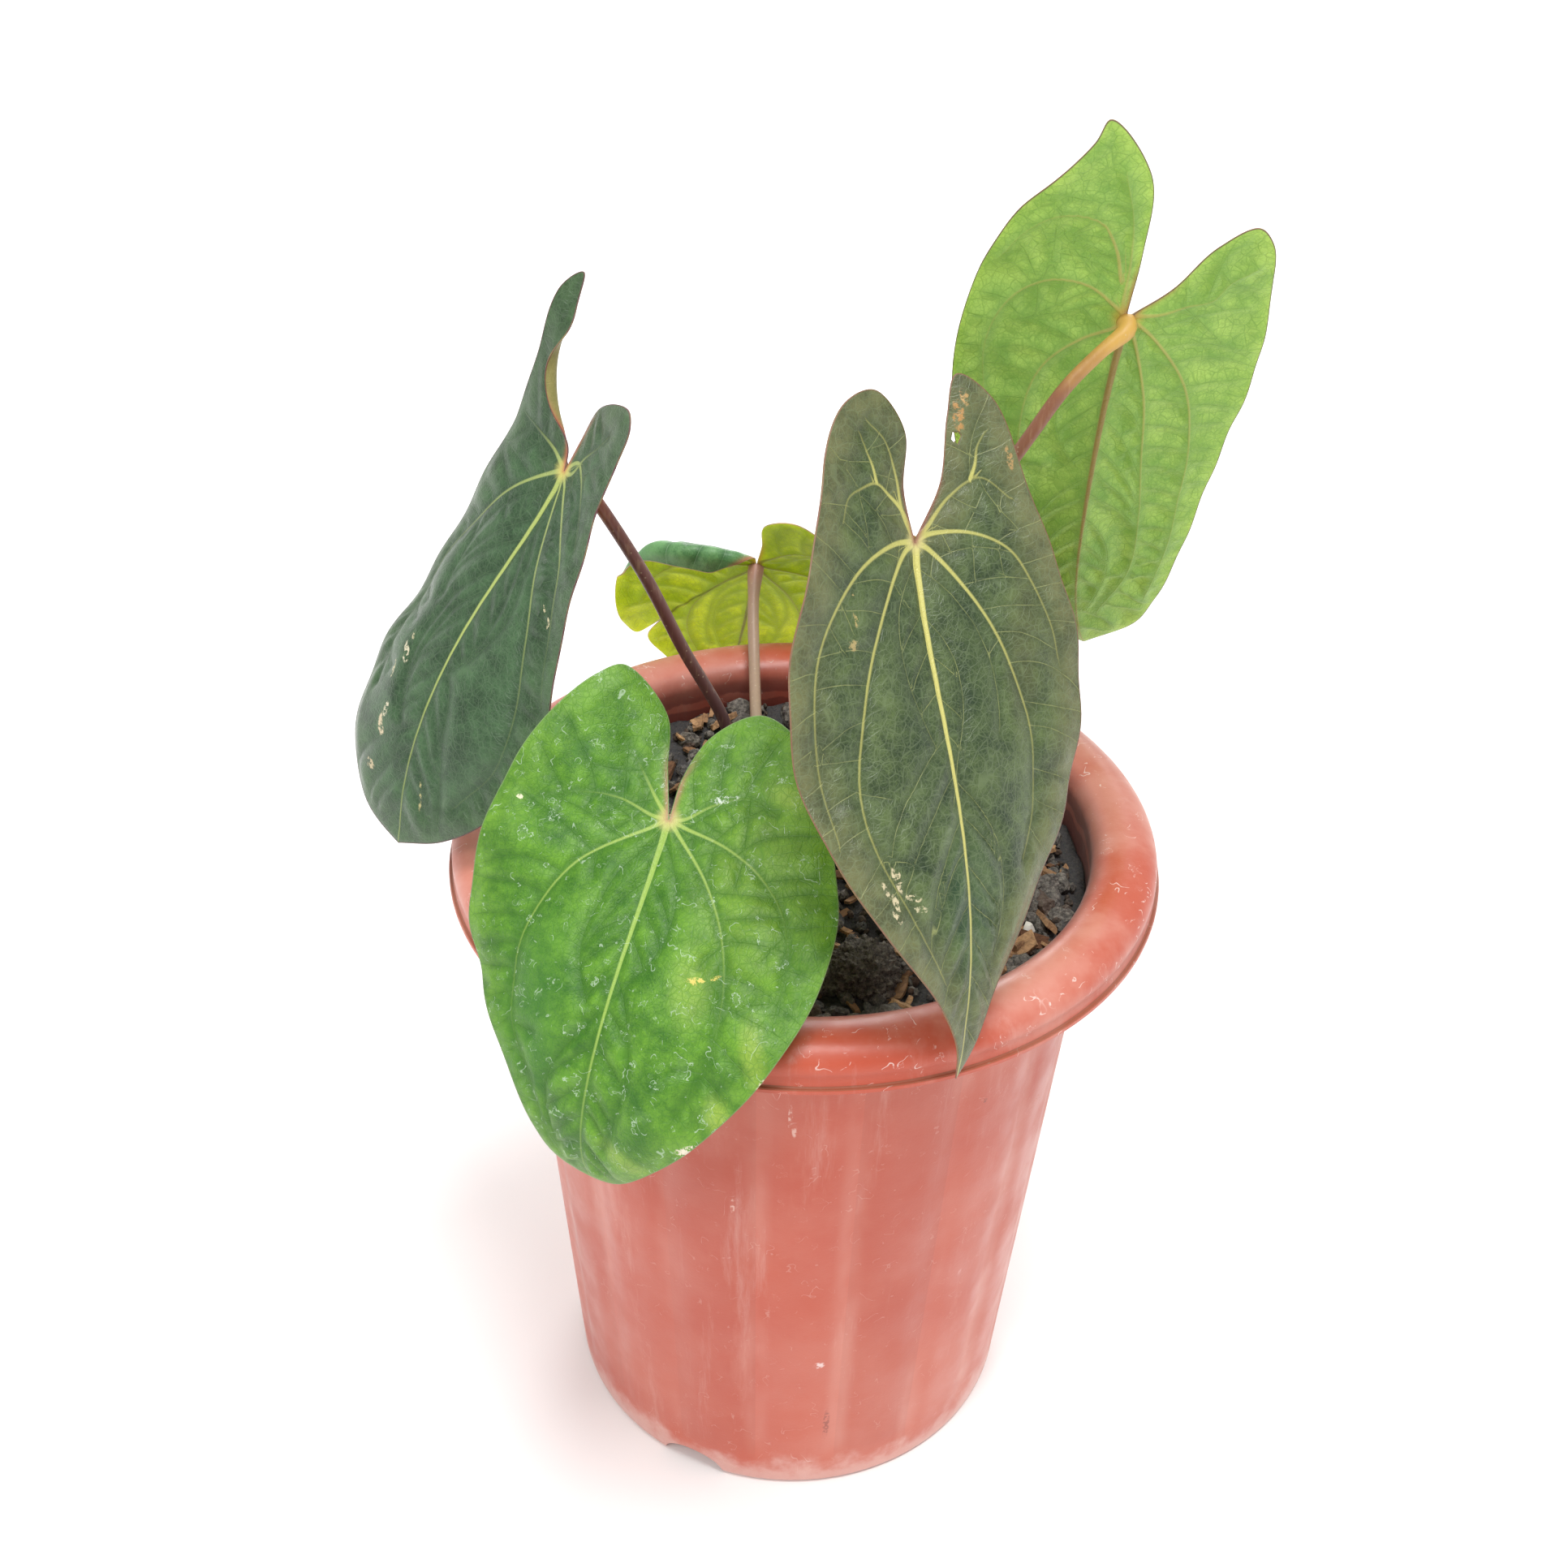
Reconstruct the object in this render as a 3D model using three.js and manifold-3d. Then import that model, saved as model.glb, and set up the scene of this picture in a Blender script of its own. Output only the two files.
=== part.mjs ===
// A dark phoenix anthurium in a fluted terracotta-coloured plastic pot.
// Units are millimetres. +Z is up, and the origin is the centre of the pot's base.
// The plant's front faces -Y.
import * as THREE from "three";
import { mergeVertices } from "three/addons/utils/BufferGeometryUtils.js";
import Module from "manifold-3d";

const wasm = await Module();
wasm.setup();

// Clearance that keeps neighbouring pieces apart
const seat = 0.3;

// Pot: a tapered tub with a rolled rim, a lip under the roll and soft upright flutes.
// The base stands on a middle pad and a foot ring, with a drained channel between them.
const pot = {
  footRadius: 74,
  footBevel: 2.5,
  neckRadius: 88.4,
  neckHeight: 207,
  wall: 2.4,
  rollCentre: 95.3,
  rollHeight: 215.2,
  rollHalfWidth: 9.7,
  rollHalfHeight: 6.8,
  skin: 2.2,
  lipRadius: 106.2,
  lipTop: 210.4,
  lipBottom: 208.6,
  flutes: 18,
  fluteTurn: -98,
  fluteDepth: 0.9,
  floor: 3,
  padRadius: 44,
  channelRadius: 65,
  channelHeight: 8,
  slope: 2,
  notches: 3,
  notchTurn: -115,
  notchWidth: 22,
  holes: 6,
  holeRadius: 4.5,
  holeCircle: 55,
};

// Potting mix: lava, charcoal and bark, heaped a little against the back wall
const mix = {
  level: 203.5,
  backRise: 4,
  unevenness: 1.2,
  lumps: 36,
  smallest: 3,
  largest: 6,
  flattest: 0.6,
  chips: 10,
  clump: { x: 17, y: -54, radius: 9.5 },
};

// Crown: the short stem that carries all the leaf stalks, with its thick roots
const crown = {
  x: -14,
  y: 33,
  top: 209,
  collar: 11,
  waist: 7.5,
  bottom: 150,
  roots: 5,
  rootTurn: 25,
  rootRadius: 2.3,
  rootStart: 188,
  rootReach: 28,
  rootDrop: 62,
  stalkRing: 8,
};

// Leaf stalks are thicker where they clasp the crown and at the knee below the blade
const stalk = {
  radius: 2.05,
  baseRadius: 2.6,
  baseLength: 14,
  kneeRadius: 2.7,
  kneeLength: 13,
  kneeRise: 3.5,
  sides: 8,
  steps: 16,
};

// Blades are thin, with a midrib that stands out below and tapers to the tip
const blade = {
  thickness: 0.8,
  midrib: 0.8,
  raysPerSpan: 2,
  wave: 0.6,
  waveLength: 27,
};

// Each leaf starts at its hub, where the stalk meets the blade. Angles are in degrees.
// length runs from the hub to the tip and lobe from the hub back to the lobes' ends.
// heading turns the tip from the front towards +X, dip points it below the horizon, and
// roll turns it about the midrib. droop, sway and twist turn the midrib on, per 100 mm,
// at the lobe end, the hub, half way and the tip. fold is each half's rise from the midrib
// and cup its bend over 40 mm of width, at the lobe end, at the hub and beyond half way.
// Outlines are flat: x runs across from the midrib and y from the hub to the tip. sinus is
// the edge between the lobes, and margin runs from the lobe's end round to the tip.
// A curl rolls the edge beyond a ring drawn on the flat blade, with lift 1 for up and -1 for
// down, in full at one y and fading to none at another. via is the stalk's route.
const leaves = [
  {
    name: "front_right",
    hub: [24.6, -32.8, 331],
    length: 139.3,
    lobe: 40.5,
    steps: 7,
    heading: 10,
    dip: 50,
    roll: -22.5,
    droop: [-5, -22, 29, 52],
    sway: [0, 15, 3.5, -7.5],
    twist: [-6.5, -6.5, -20.5, -5.5],
    via: [[-5, 17, 232], [4, 2, 266], [13, -14, 300]],
    left: {
      fold: [14, 16, -0.5],
      cup: [-5, 0.5, -16.5],
      sinus: [[3, -13], [2, -28]],
      margin: [[12, -37], [22.5, -32.5], [30.5, -18.5], [36.5, 0], [44.5, 21], [47, 44.5],
        [42.5, 69.5], [30.5, 94.5], [12, 117], [2.5, 131]],
    },
    right: {
      fold: [13.5, 12, -2],
      cup: [-5.5, -5, 0],
      sinus: [[8, -15.5], [10, -33]],
      margin: [[12.5, -44], [22.5, -38.5], [30.5, -22], [38.5, 0], [44.5, 21], [47, 44.5],
        [42.5, 69.5], [27.5, 94.5], [11.5, 117], [5.5, 131]],
    },
  },
  {
    name: "front_left",
    hub: [-36.8, -55.7, 258.9],
    length: 116.2,
    lobe: 37,
    steps: 8,
    heading: -15.5,
    dip: 31,
    roll: -3,
    droop: [2.5, 5, 84.5, 166],
    sway: [0, -15, -8.5, 4],
    twist: [10, 10, 8.5, -9.5],
    via: [[-19, 12, 222], [-27, -12, 234], [-33, -32, 244.5]],
    left: {
      fold: [17, 4.5, -4],
      cup: [1, -8, -22],
      sinus: [[4, -14], [8, -29]],
      margin: [[22.5, -39], [29, -34.5], [39.5, -20], [47.5, 0], [49.5, 17.5], [50.5, 37],
        [43, 58.5], [28.5, 79], [15.5, 98], [9.5, 109]],
    },
    right: {
      fold: [-0.5, 4, 2],
      cup: [-8, -7, -7],
      sinus: [[0.5, -12.5], [5.5, -26]],
      margin: [[17, -35], [27, -31], [37.5, -18], [45, 0], [51.5, 17.5], [51.5, 37],
        [45, 58.5], [33, 79], [18, 98], [8.5, 109]],
    },
  },
  {
    name: "left",
    hub: [-69.3, 18.4, 323.3],
    length: 120.9,
    lobe: 39.5,
    steps: 8,
    heading: -62.5,
    dip: 58,
    roll: -5,
    droop: [3, -45.5, 30, 68],
    sway: [0, 4.5, 16, 11],
    twist: [6.5, 6.5, -17.5, -5.5],
    via: [[-25.4, 30, 234], [-37.6, 25.9, 262.2], [-50.2, 21.3, 293.1]],
    left: {
      fold: [28.5, 21.5, -0.5],
      cup: [-5.5, -42, -24.5],
      sinus: [[5.5, -15], [11, -29], [15.5, -41]],
      margin: [[17.5, -51], [22.5, -45], [24, -25], [29.5, 0], [33, 18], [36.5, 38.5],
        [40, 60.5], [40, 82.5], [32, 101.5], [19.5, 114]],
      curl: {
        centre: [-15.5, -33], ring: 35.5, inward: true, lift: 1, radius: 2.6, angle: 150,
        full: -27, none: -37,
      },
    },
    right: {
      fold: [18, 12.5, -4.5],
      cup: [-17.5, -8, -12.5],
      sinus: [[1, -10], [4, -20.5]],
      margin: [[22.5, -28], [26.5, -24.5], [26.5, -14], [29, 0], [34.5, 18], [37, 38.5],
        [41.5, 60.5], [40, 82.5], [32, 101.5], [17.5, 114]],
    },
  },
  {
    name: "back_right",
    hub: [82.3, 31.2, 366.6],
    length: 144.2,
    lobe: 48.5,
    steps: 7,
    heading: 194.5,
    dip: 71,
    roll: 16,
    droop: [1, 16, -22, -18],
    sway: [0, -10.5, -7.5, -30.5],
    twist: [-0.5, -0.5, 13, 4.5],
    via: [[12, 31, 245], [38, 26, 297], [57, 20, 340], [64, 18.5, 358], [71.5, 20.5, 367]],
    left: {
      fold: [-1.5, 4.5, 11.5],
      cup: [-6.5, 1.5, 3.5],
      sinus: [[10, -11], [17, -27]],
      margin: [[25, -36], [30.5, -31.5], [35, -18], [39, 0], [40.5, 21.5], [38.5, 46],
        [35, 72], [30.5, 98], [24.5, 121], [17, 135.5]],
    },
    right: {
      fold: [-2, 10.5, 6],
      cup: [-6, -3, -6],
      sinus: [[1.2, -21.5], [6, -46]],
      margin: [[21, -61.5], [23, -54], [35.5, -30.5], [42.5, 0], [44, 21.5], [41, 46],
        [35.5, 72], [30.5, 98], [24, 121], [16.5, 135.5]],
    },
  },
  {
    name: "back",
    hub: [-17.9, 111.8, 244.5],
    length: 84.8,
    lobe: 33.5,
    steps: 9,
    heading: 188,
    dip: 57,
    roll: 11.5,
    droop: [-0.5, 12, 25, 30],
    sway: [0, 14, 3.5, 0],
    twist: [-6, -6, 0.5, 0],
    via: [[-16, 56, 216], [-17.5, 80, 224], [-18.5, 98, 235]],
    left: {
      fold: [-13, 5, 5],
      cup: [-11, -5, -5],
      sinus: [[1, -13], [1.5, -27.5]],
      margin: [[12.5, -37], [23.5, -32.5], [33, -18.5], [40.5, 0], [45.5, 12.5], [46, 27],
        [41.5, 42.5], [31, 57.5], [20, 71], [9, 79.5]],
    },
    right: {
      fold: [5, 4.5, 0],
      cup: [-5, -5, -11.5],
      sinus: [[1.5, -6.5], [6, -14]],
      margin: [[14, -20], [26, -18], [36, -11], [43.5, 2], [46.5, 16], [46.5, 32],
        [42.5, 44.5], [37, 51.5], [28, 39], [33, 53.5], [26, 63.5], [13, 76.5]],
      curl: {
        centre: [15.5, 20.5], ring: 27.5, inward: false, lift: -1, radius: 2.6, angle: 155,
        full: 4, none: 21,
      },
    },
  },
];

// Colours and finishes
function finish(colour, roughness) {
  return new THREE.MeshStandardMaterial({ color: colour, roughness, metalness: 0 });
}

const finishes = {
  pot: finish("#c96a4d", 0.45),
  mix: finish("#33302e", 0.95),
  crown: finish("#6b5a3c", 0.8),
  front_right: finish("#4f5d3c", 0.45),
  front_left: finish("#4d8f34", 0.45),
  left: finish("#3e5f4e", 0.45),
  back_right: finish("#86b05e", 0.5),
  back: finish("#a3b53a", 0.5),
  stalk: finish("#7d4f42", 0.5),
};

// Seeded draw, so that every build scatters the same lumps
function seededDraw(seed) {
  let state = seed;
  return (low, high) => {
    state = (state * 16807) % 2147483647;
    return low + (high - low) * (state / 2147483647);
  };
}

// A closed geometry as a solid, with shared corners merged and faces turned outwards
function toSolid(geometry) {
  const bare = geometry.clone();
  bare.deleteAttribute("normal");
  bare.deleteAttribute("uv");
  const merged = mergeVertices(bare, 1e-4);
  const place = merged.getAttribute("position");
  const corners = merged.index.array;
  const kept = [];
  const a = new THREE.Vector3();
  const b = new THREE.Vector3();
  const c = new THREE.Vector3();
  let volume = 0;
  for (let i = 0; i < corners.length; i += 3) {
    const [p, q, r] = corners.slice(i, i + 3);
    if (p === q || q === r || r === p) continue;
    kept.push(p, q, r);
    a.fromBufferAttribute(place, p);
    b.fromBufferAttribute(place, q);
    c.fromBufferAttribute(place, r);
    volume += a.dot(b.cross(c));
  }
  if (volume < 0) kept.reverse();
  return new wasm.Manifold(
    new wasm.Mesh({
      numProp: 3,
      vertProperties: new Float32Array(place.array),
      triVerts: new Uint32Array(kept),
    }),
  );
}

function toGeometry(solid) {
  const mesh = solid.getMesh();
  return new THREE.BufferGeometry()
    .setAttribute("position", new THREE.BufferAttribute(mesh.vertProperties, 3))
    .setIndex(new THREE.BufferAttribute(mesh.triVerts, 1));
}

function piece(name, solid, material) {
  const geometry = toGeometry(solid);
  geometry.computeVertexNormals();
  const mesh = new THREE.Mesh(geometry, material);
  mesh.name = name;
  return mesh;
}

function turned(profile, segments) {
  const points = profile.map(([r, z]) => new THREE.Vector2(r, z));
  return new THREE.LatheGeometry(points, segments).rotateX(Math.PI / 2);
}

// A tube of round sections along a smooth route, closed at both ends. Steps shorten to its end.
function tube(route, radiusAt, sides, steps) {
  const curve = new THREE.CatmullRomCurve3(route, false, "centripetal");
  const normal = new THREE.Vector3(0.31, 0.95, 0.05);
  const places = [];
  const corners = [];
  for (let i = 0; i <= steps; i++) {
    const t = 1 - (1 - i / steps) ** 1.5;
    const tangent = curve.getTangentAt(t);
    normal.addScaledVector(tangent, -normal.dot(tangent)).normalize();
    const binormal = tangent.clone().cross(normal);
    for (let k = 0; k < sides; k++) {
      const turn = (k / sides) * 2 * Math.PI;
      const point = curve
        .getPointAt(t)
        .addScaledVector(normal, radiusAt(t) * Math.cos(turn))
        .addScaledVector(binormal, radiusAt(t) * Math.sin(turn));
      places.push(...point.toArray());
      const next = (k + 1) % sides;
      const low = i * sides;
      if (i < steps) {
        corners.push(low + k, low + next, low + sides + next);
        corners.push(low + k, low + sides + next, low + sides + k);
      }
    }
  }
  for (let k = 1; k < sides - 1; k++) {
    const end = steps * sides;
    corners.push(0, k + 1, k);
    corners.push(end, end + k, end + k + 1);
  }
  return new THREE.BufferGeometry()
    .setAttribute("position", new THREE.Float32BufferAttribute(places, 3))
    .setIndex(corners);
}

// Pot
function potWallRadius(z) {
  const rise = (z - pot.footBevel) / (pot.neckHeight - pot.footBevel);
  return THREE.MathUtils.lerp(pot.footRadius, pot.neckRadius, rise);
}

// Points of the rolled rim's section, as an ellipse from one angle to another, in degrees
function rollArc(from, to, count, inset) {
  const points = [];
  for (let i = 0; i <= count; i++) {
    const turn = THREE.MathUtils.degToRad(THREE.MathUtils.lerp(from, to, i / count));
    const r = pot.rollCentre + (pot.rollHalfWidth - inset) * Math.cos(turn);
    const z = pot.rollHeight + (pot.rollHalfHeight - inset) * Math.sin(turn);
    points.push([r, z]);
  }
  return points;
}

function potProfile() {
  const innerTop = pot.rollCentre - pot.rollHalfWidth;
  const roof = pot.channelHeight + pot.floor;
  return [
    [0, 0],
    [pot.padRadius, 0],
    [pot.padRadius + pot.slope, pot.channelHeight],
    [pot.channelRadius, pot.channelHeight],
    [pot.channelRadius + pot.slope, 0],
    [pot.footRadius - pot.footBevel, 0],
    [pot.footRadius, pot.footBevel],
    [potWallRadius(14), 14],
    [potWallRadius(200), 200],
    [pot.neckRadius, pot.neckHeight],
    ...rollArc(172, 12, 3, pot.skin),
    [pot.lipRadius - pot.skin, pot.lipBottom],
    [pot.lipRadius, pot.lipBottom],
    [pot.lipRadius, pot.lipTop],
    ...rollArc(-30, 180, 7, 0),
    [innerTop + 0.3, 205],
    [potWallRadius(roof + 4) - pot.wall, roof + 4],
    [potWallRadius(roof) - pot.wall - 1.5, roof],
    [pot.padRadius + pot.slope - pot.floor, roof],
    [pot.padRadius - pot.floor, pot.floor],
    [0, pot.floor],
  ];
}

// Soft upright flutes: flat panels that meet in shallow grooves on the outer wall
function fluteWall(geometry) {
  const place = geometry.getAttribute("position");
  const pitch = 360 / pot.flutes;
  for (let i = 0; i < place.count; i++) {
    const [x, y, z] = [place.getX(i), place.getY(i), place.getZ(i)];
    const radius = Math.hypot(x, y);
    const onWall = z > 10 && z < 204 && radius > potWallRadius(z) - 0.1;
    if (!onWall) continue;
    const turn = THREE.MathUtils.radToDeg(Math.atan2(y, x)) - pot.fluteTurn;
    const across = Math.abs(THREE.MathUtils.euclideanModulo(turn + pitch / 2, pitch) - pitch / 2);
    const depth = across < 1 ? pot.fluteDepth : 0;
    place.setXY(i, (x * (radius - depth)) / radius, (y * (radius - depth)) / radius);
  }
  return geometry;
}

function archCutter(turn) {
  const arch = new THREE.Shape();
  arch.moveTo(-pot.notchWidth / 2, -1);
  arch.lineTo(pot.notchWidth / 2, -1);
  arch.lineTo(pot.notchWidth / 2, 0);
  arch.absellipse(0, 0, pot.notchWidth / 2, pot.channelHeight, 0, Math.PI, false, 0);
  arch.lineTo(-pot.notchWidth / 2, -1);
  const depth = pot.footRadius - pot.channelRadius + 8;
  return new THREE.ExtrudeGeometry(arch, { depth, bevelEnabled: false, curveSegments: 8 })
    .translate(0, 0, pot.channelRadius - 2)
    .rotateX(Math.PI / 2)
    .rotateZ(THREE.MathUtils.degToRad(turn + 90));
}

function buildPot() {
  const segments = pot.flutes * 3;
  const turnBy = THREE.MathUtils.degToRad(pot.fluteTurn + 90);
  const shell = turned(potProfile(), segments).rotateZ(turnBy);
  let solid = toSolid(fluteWall(shell));
  for (let i = 0; i < pot.notches; i++) {
    solid = solid.subtract(toSolid(archCutter(pot.notchTurn + (i * 360) / pot.notches)));
  }
  for (let i = 0; i < pot.holes; i++) {
    const turn = ((i + 0.5) / pot.holes) * 2 * Math.PI;
    const drill = new THREE.CylinderGeometry(pot.holeRadius, pot.holeRadius, 10, 12)
      .rotateX(Math.PI / 2)
      .translate(pot.holeCircle * Math.cos(turn), pot.holeCircle * Math.sin(turn), 10);
    solid = solid.subtract(toSolid(drill));
  }
  return piece("pot", solid, finishes.pot);
}

// Crown, or the slightly larger hollow that it stands in
function crownSolid(grow) {
  const head = grow > 0 ? 30 : 0;
  const profile = [
    [0, crown.bottom - grow],
    [3 + grow, crown.bottom - grow],
    [5 + grow, crown.bottom + 14],
    [crown.waist + grow, crown.bottom + 40],
    [crown.waist + 1.5 + grow, crown.top - 8],
    [crown.collar + grow, crown.top - 3],
    [crown.collar + grow, crown.top + head],
    [0, crown.top + head],
  ];
  let solid = toSolid(turned(profile, 12));
  for (let i = 0; i < crown.roots; i++) {
    const turn = THREE.MathUtils.degToRad(crown.rootTurn + (i * 360) / crown.roots);
    const start = crown.rootStart - i * 5;
    const route = [
      [2, start],
      [crown.waist + 3, start - 3],
      [crown.rootReach * 0.7, start - crown.rootDrop * 0.35],
      [crown.rootReach + grow, start - crown.rootDrop - grow],
    ].map(([out, z]) => new THREE.Vector3(out * Math.cos(turn), out * Math.sin(turn), z));
    const radiusAt = (t) => crown.rootRadius * (1 - 0.45 * t) + 1.6 * grow;
    solid = solid.add(toSolid(tube(route, radiusAt, 6, 7)));
  }
  return solid.translate([crown.x, crown.y, 0]);
}

// Potting mix
function mixLevel(x, y) {
  const back = THREE.MathUtils.smoothstep(y, 10, 85);
  const ripple = Math.sin(x * 0.21 + 1.3) * Math.cos(y * 0.17) + 0.6 * Math.sin(x * 0.4 - y * 0.33);
  return mix.level + mix.backRise * back + mix.unevenness * ripple;
}

function lump(draw, radius) {
  const stretch = [draw(0.8, 1.25), draw(0.8, 1.25), draw(mix.flattest, 1)];
  return new THREE.IcosahedronGeometry(radius, 0)
    .rotateX(draw(0, 3))
    .scale(...stretch)
    .rotateZ(draw(0, 6));
}

function buildMix() {
  const roof = pot.channelHeight + pot.floor + seat;
  const flat = Math.cos(Math.PI / (pot.flutes * 3));
  const wallAt = (z) => (potWallRadius(z) - pot.wall) * flat - seat;
  const edge = (pot.rollCentre - pot.rollHalfWidth) * flat - seat;
  const profile = [
    [0, pot.floor + seat],
    [pot.padRadius - pot.floor - seat, pot.floor + seat],
    [pot.padRadius + pot.slope - pot.floor - seat, roof],
    [wallAt(roof) - 1.5, roof],
    [wallAt(roof + 4), roof + 4],
    [edge, mix.level - 4],
    [edge, mix.level],
    [edge * 0.86, mix.level],
    [edge * 0.7, mix.level],
    [edge * 0.52, mix.level],
    [edge * 0.34, mix.level],
    [edge * 0.16, mix.level],
    [0, mix.level],
  ];
  const bed = turned(profile, 28);
  const place = bed.getAttribute("position");
  for (let i = 0; i < place.count; i++) {
    if (place.getZ(i) > mix.level - 1) place.setZ(i, mixLevel(place.getX(i), place.getY(i)));
  }
  let solid = toSolid(bed);
  const draw = seededDraw(41);
  const clear = (x, y, gap) =>
    Math.hypot(x, y) < edge - gap - 0.5 &&
    Math.hypot(x - crown.x, y - crown.y) > crown.collar + gap &&
    Math.hypot(x - mix.clump.x, y - mix.clump.y) > mix.clump.radius;
  for (let placed = 0; placed < mix.lumps; ) {
    const radius = draw(mix.smallest, mix.largest);
    const [x, y] = [draw(-edge, edge), draw(-edge, edge)];
    if (!clear(x, y, radius * 1.25)) continue;
    const stone = lump(draw, radius).translate(x, y, mixLevel(x, y) - radius * 0.1);
    solid = solid.add(toSolid(stone));
    placed += 1;
  }
  for (let placed = 0; placed < mix.chips; ) {
    const long = draw(8, 13);
    const [x, y] = [draw(-edge, edge), draw(-edge, edge)];
    if (!clear(x, y, long / 2)) continue;
    const chip = new THREE.BoxGeometry(long, draw(2.5, 4), 2.4)
      .rotateY(draw(-0.5, 0.5))
      .rotateZ(draw(0, 3))
      .translate(x, y, mixLevel(x, y) + 0.4);
    solid = solid.add(toSolid(chip));
    placed += 1;
  }
  const { x, y, radius } = mix.clump;
  const clod = new THREE.IcosahedronGeometry(radius, 1).scale(1, 1, 0.75);
  solid = solid.add(toSolid(clod.translate(x, y, mixLevel(x, y) + 1)));
  return piece("potting_mix", solid.subtract(crownSolid(seat)), finishes.mix);
}

// A value given at the lobe end, the hub, half way and the tip, eased between them
function eased(values, t) {
  const keys = [-1, 0, 0.5, 1];
  const place = THREE.MathUtils.clamp(t, -1, 1);
  const span = place < 0 ? 0 : place < 0.5 ? 1 : 2;
  const u = (place - keys[span]) / (keys[span + 1] - keys[span]);
  const last = values.length - 1;
  const from = values[Math.min(span, last)];
  const to = values[Math.min(span + 1, last)];
  return THREE.MathUtils.lerp(from, to, u * u * (3 - 2 * u));
}

// The midrib as a list of places with directions along, across and up from the upper face
function walkMidrib(leaf) {
  const [heading, dip, roll] = [leaf.heading, leaf.dip, leaf.roll].map(THREE.MathUtils.degToRad);
  const along = new THREE.Vector3(
    Math.sin(heading) * Math.cos(dip),
    -Math.cos(heading) * Math.cos(dip),
    -Math.sin(dip),
  );
  const across = new THREE.Vector3(Math.cos(heading), Math.sin(heading), 0);
  across.applyAxisAngle(along, roll);
  const up = along.clone().cross(across);
  const hub = { y: 0, point: new THREE.Vector3(...leaf.hub), along, across, up };
  const walk = (length) => {
    const count = Math.ceil(Math.abs(length) / 2.5);
    const step = length / count;
    const places = [];
    let here = hub;
    for (let i = 0; i < count; i++) {
      const middle = here.y + step / 2;
      const t = middle < 0 ? middle / leaf.lobe : middle / leaf.length;
      const turn = (values) => (THREE.MathUtils.degToRad(eased(values, t)) * step) / 100;
      const [droop, sway, twist] = [turn(leaf.droop), turn(leaf.sway), turn(leaf.twist)];
      const ahead = here.along
        .clone()
        .addScaledVector(here.up, -droop)
        .addScaledVector(here.across, sway)
        .normalize();
      const side = here.across
        .clone()
        .addScaledVector(here.along, -sway)
        .addScaledVector(here.up, twist);
      side.addScaledVector(ahead, -side.dot(ahead)).normalize();
      const point = here.point
        .clone()
        .addScaledVector(here.along, step / 2)
        .addScaledVector(ahead, step / 2);
      here = { y: here.y + step, point, along: ahead, across: side, up: ahead.clone().cross(side) };
      places.push(here);
    }
    return places;
  };
  return [...walk(-leaf.lobe * 1.3).reverse(), hub, ...walk(leaf.length)];
}

// Where a point of the flat blade lies in space
function liftPoint(leaf, x, y) {
  const half = x < 0 ? leaf.left : leaf.right;
  const side = x < 0 ? -1 : 1;
  let [flatX, flatY, height] = [Math.abs(x), y, 0];
  if (half.curl) {
    const { centre, ring, inward, lift, radius, angle, full, none } = half.curl;
    const [dx, dy] = [flatX - centre[0], flatY - centre[1]];
    const reach = Math.hypot(dx, dy);
    const sign = inward ? -1 : 1;
    const beyond = (reach - ring) * sign;
    if (beyond > 0) {
      const part = THREE.MathUtils.smoothstep((y - none) / (full - none), 0, 1);
      const most = THREE.MathUtils.degToRad(angle) * part + 1e-6;
      const turn = Math.min(beyond / radius, most);
      const rest = beyond - turn * radius;
      const move = radius * Math.sin(turn) + rest * Math.cos(turn) - beyond;
      flatX += (move * sign * dx) / reach;
      flatY += (move * sign * dy) / reach;
      height = lift * (radius * (1 - Math.cos(turn)) + rest * Math.sin(turn));
    }
  }
  const t = flatY < 0 ? flatY / leaf.lobe : flatY / leaf.length;
  const fold = THREE.MathUtils.degToRad(eased(half.fold, t));
  const bend = THREE.MathUtils.degToRad(eased(half.cup, t)) / 40 || 1e-6;
  const out = (Math.sin(fold + bend * flatX) - Math.sin(fold)) / bend;
  const rise = (Math.cos(fold) - Math.cos(fold + bend * flatX)) / bend;
  const slope = fold + bend * flatX;
  const edge = Math.min(flatX / 40, 1.2);
  height += blade.wave * edge * edge * Math.sin(((y + side * 9) / blade.waveLength) * 2 * Math.PI);
  const rows = leaf.midrib;
  let row = 0;
  while (row < rows.length - 2 && rows[row + 1].y < flatY) row += 1;
  const share = (flatY - rows[row].y) / (rows[row + 1].y - rows[row].y);
  const mixOf = (key) => rows[row][key].clone().lerp(rows[row + 1][key], share);
  const [point, across, up] = [mixOf("point"), mixOf("across"), mixOf("up")];
  return point
    .addScaledVector(across, side * (out - height * Math.sin(slope)))
    .addScaledVector(up, rise + height * Math.cos(slope));
}

function bladeNormal(leaf, x, y) {
  const e = 0.2;
  const along = liftPoint(leaf, x, y + e).sub(liftPoint(leaf, x, y - e));
  const across = liftPoint(leaf, x + e, y).sub(liftPoint(leaf, x - e, y));
  return along.cross(across).normalize();
}

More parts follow.
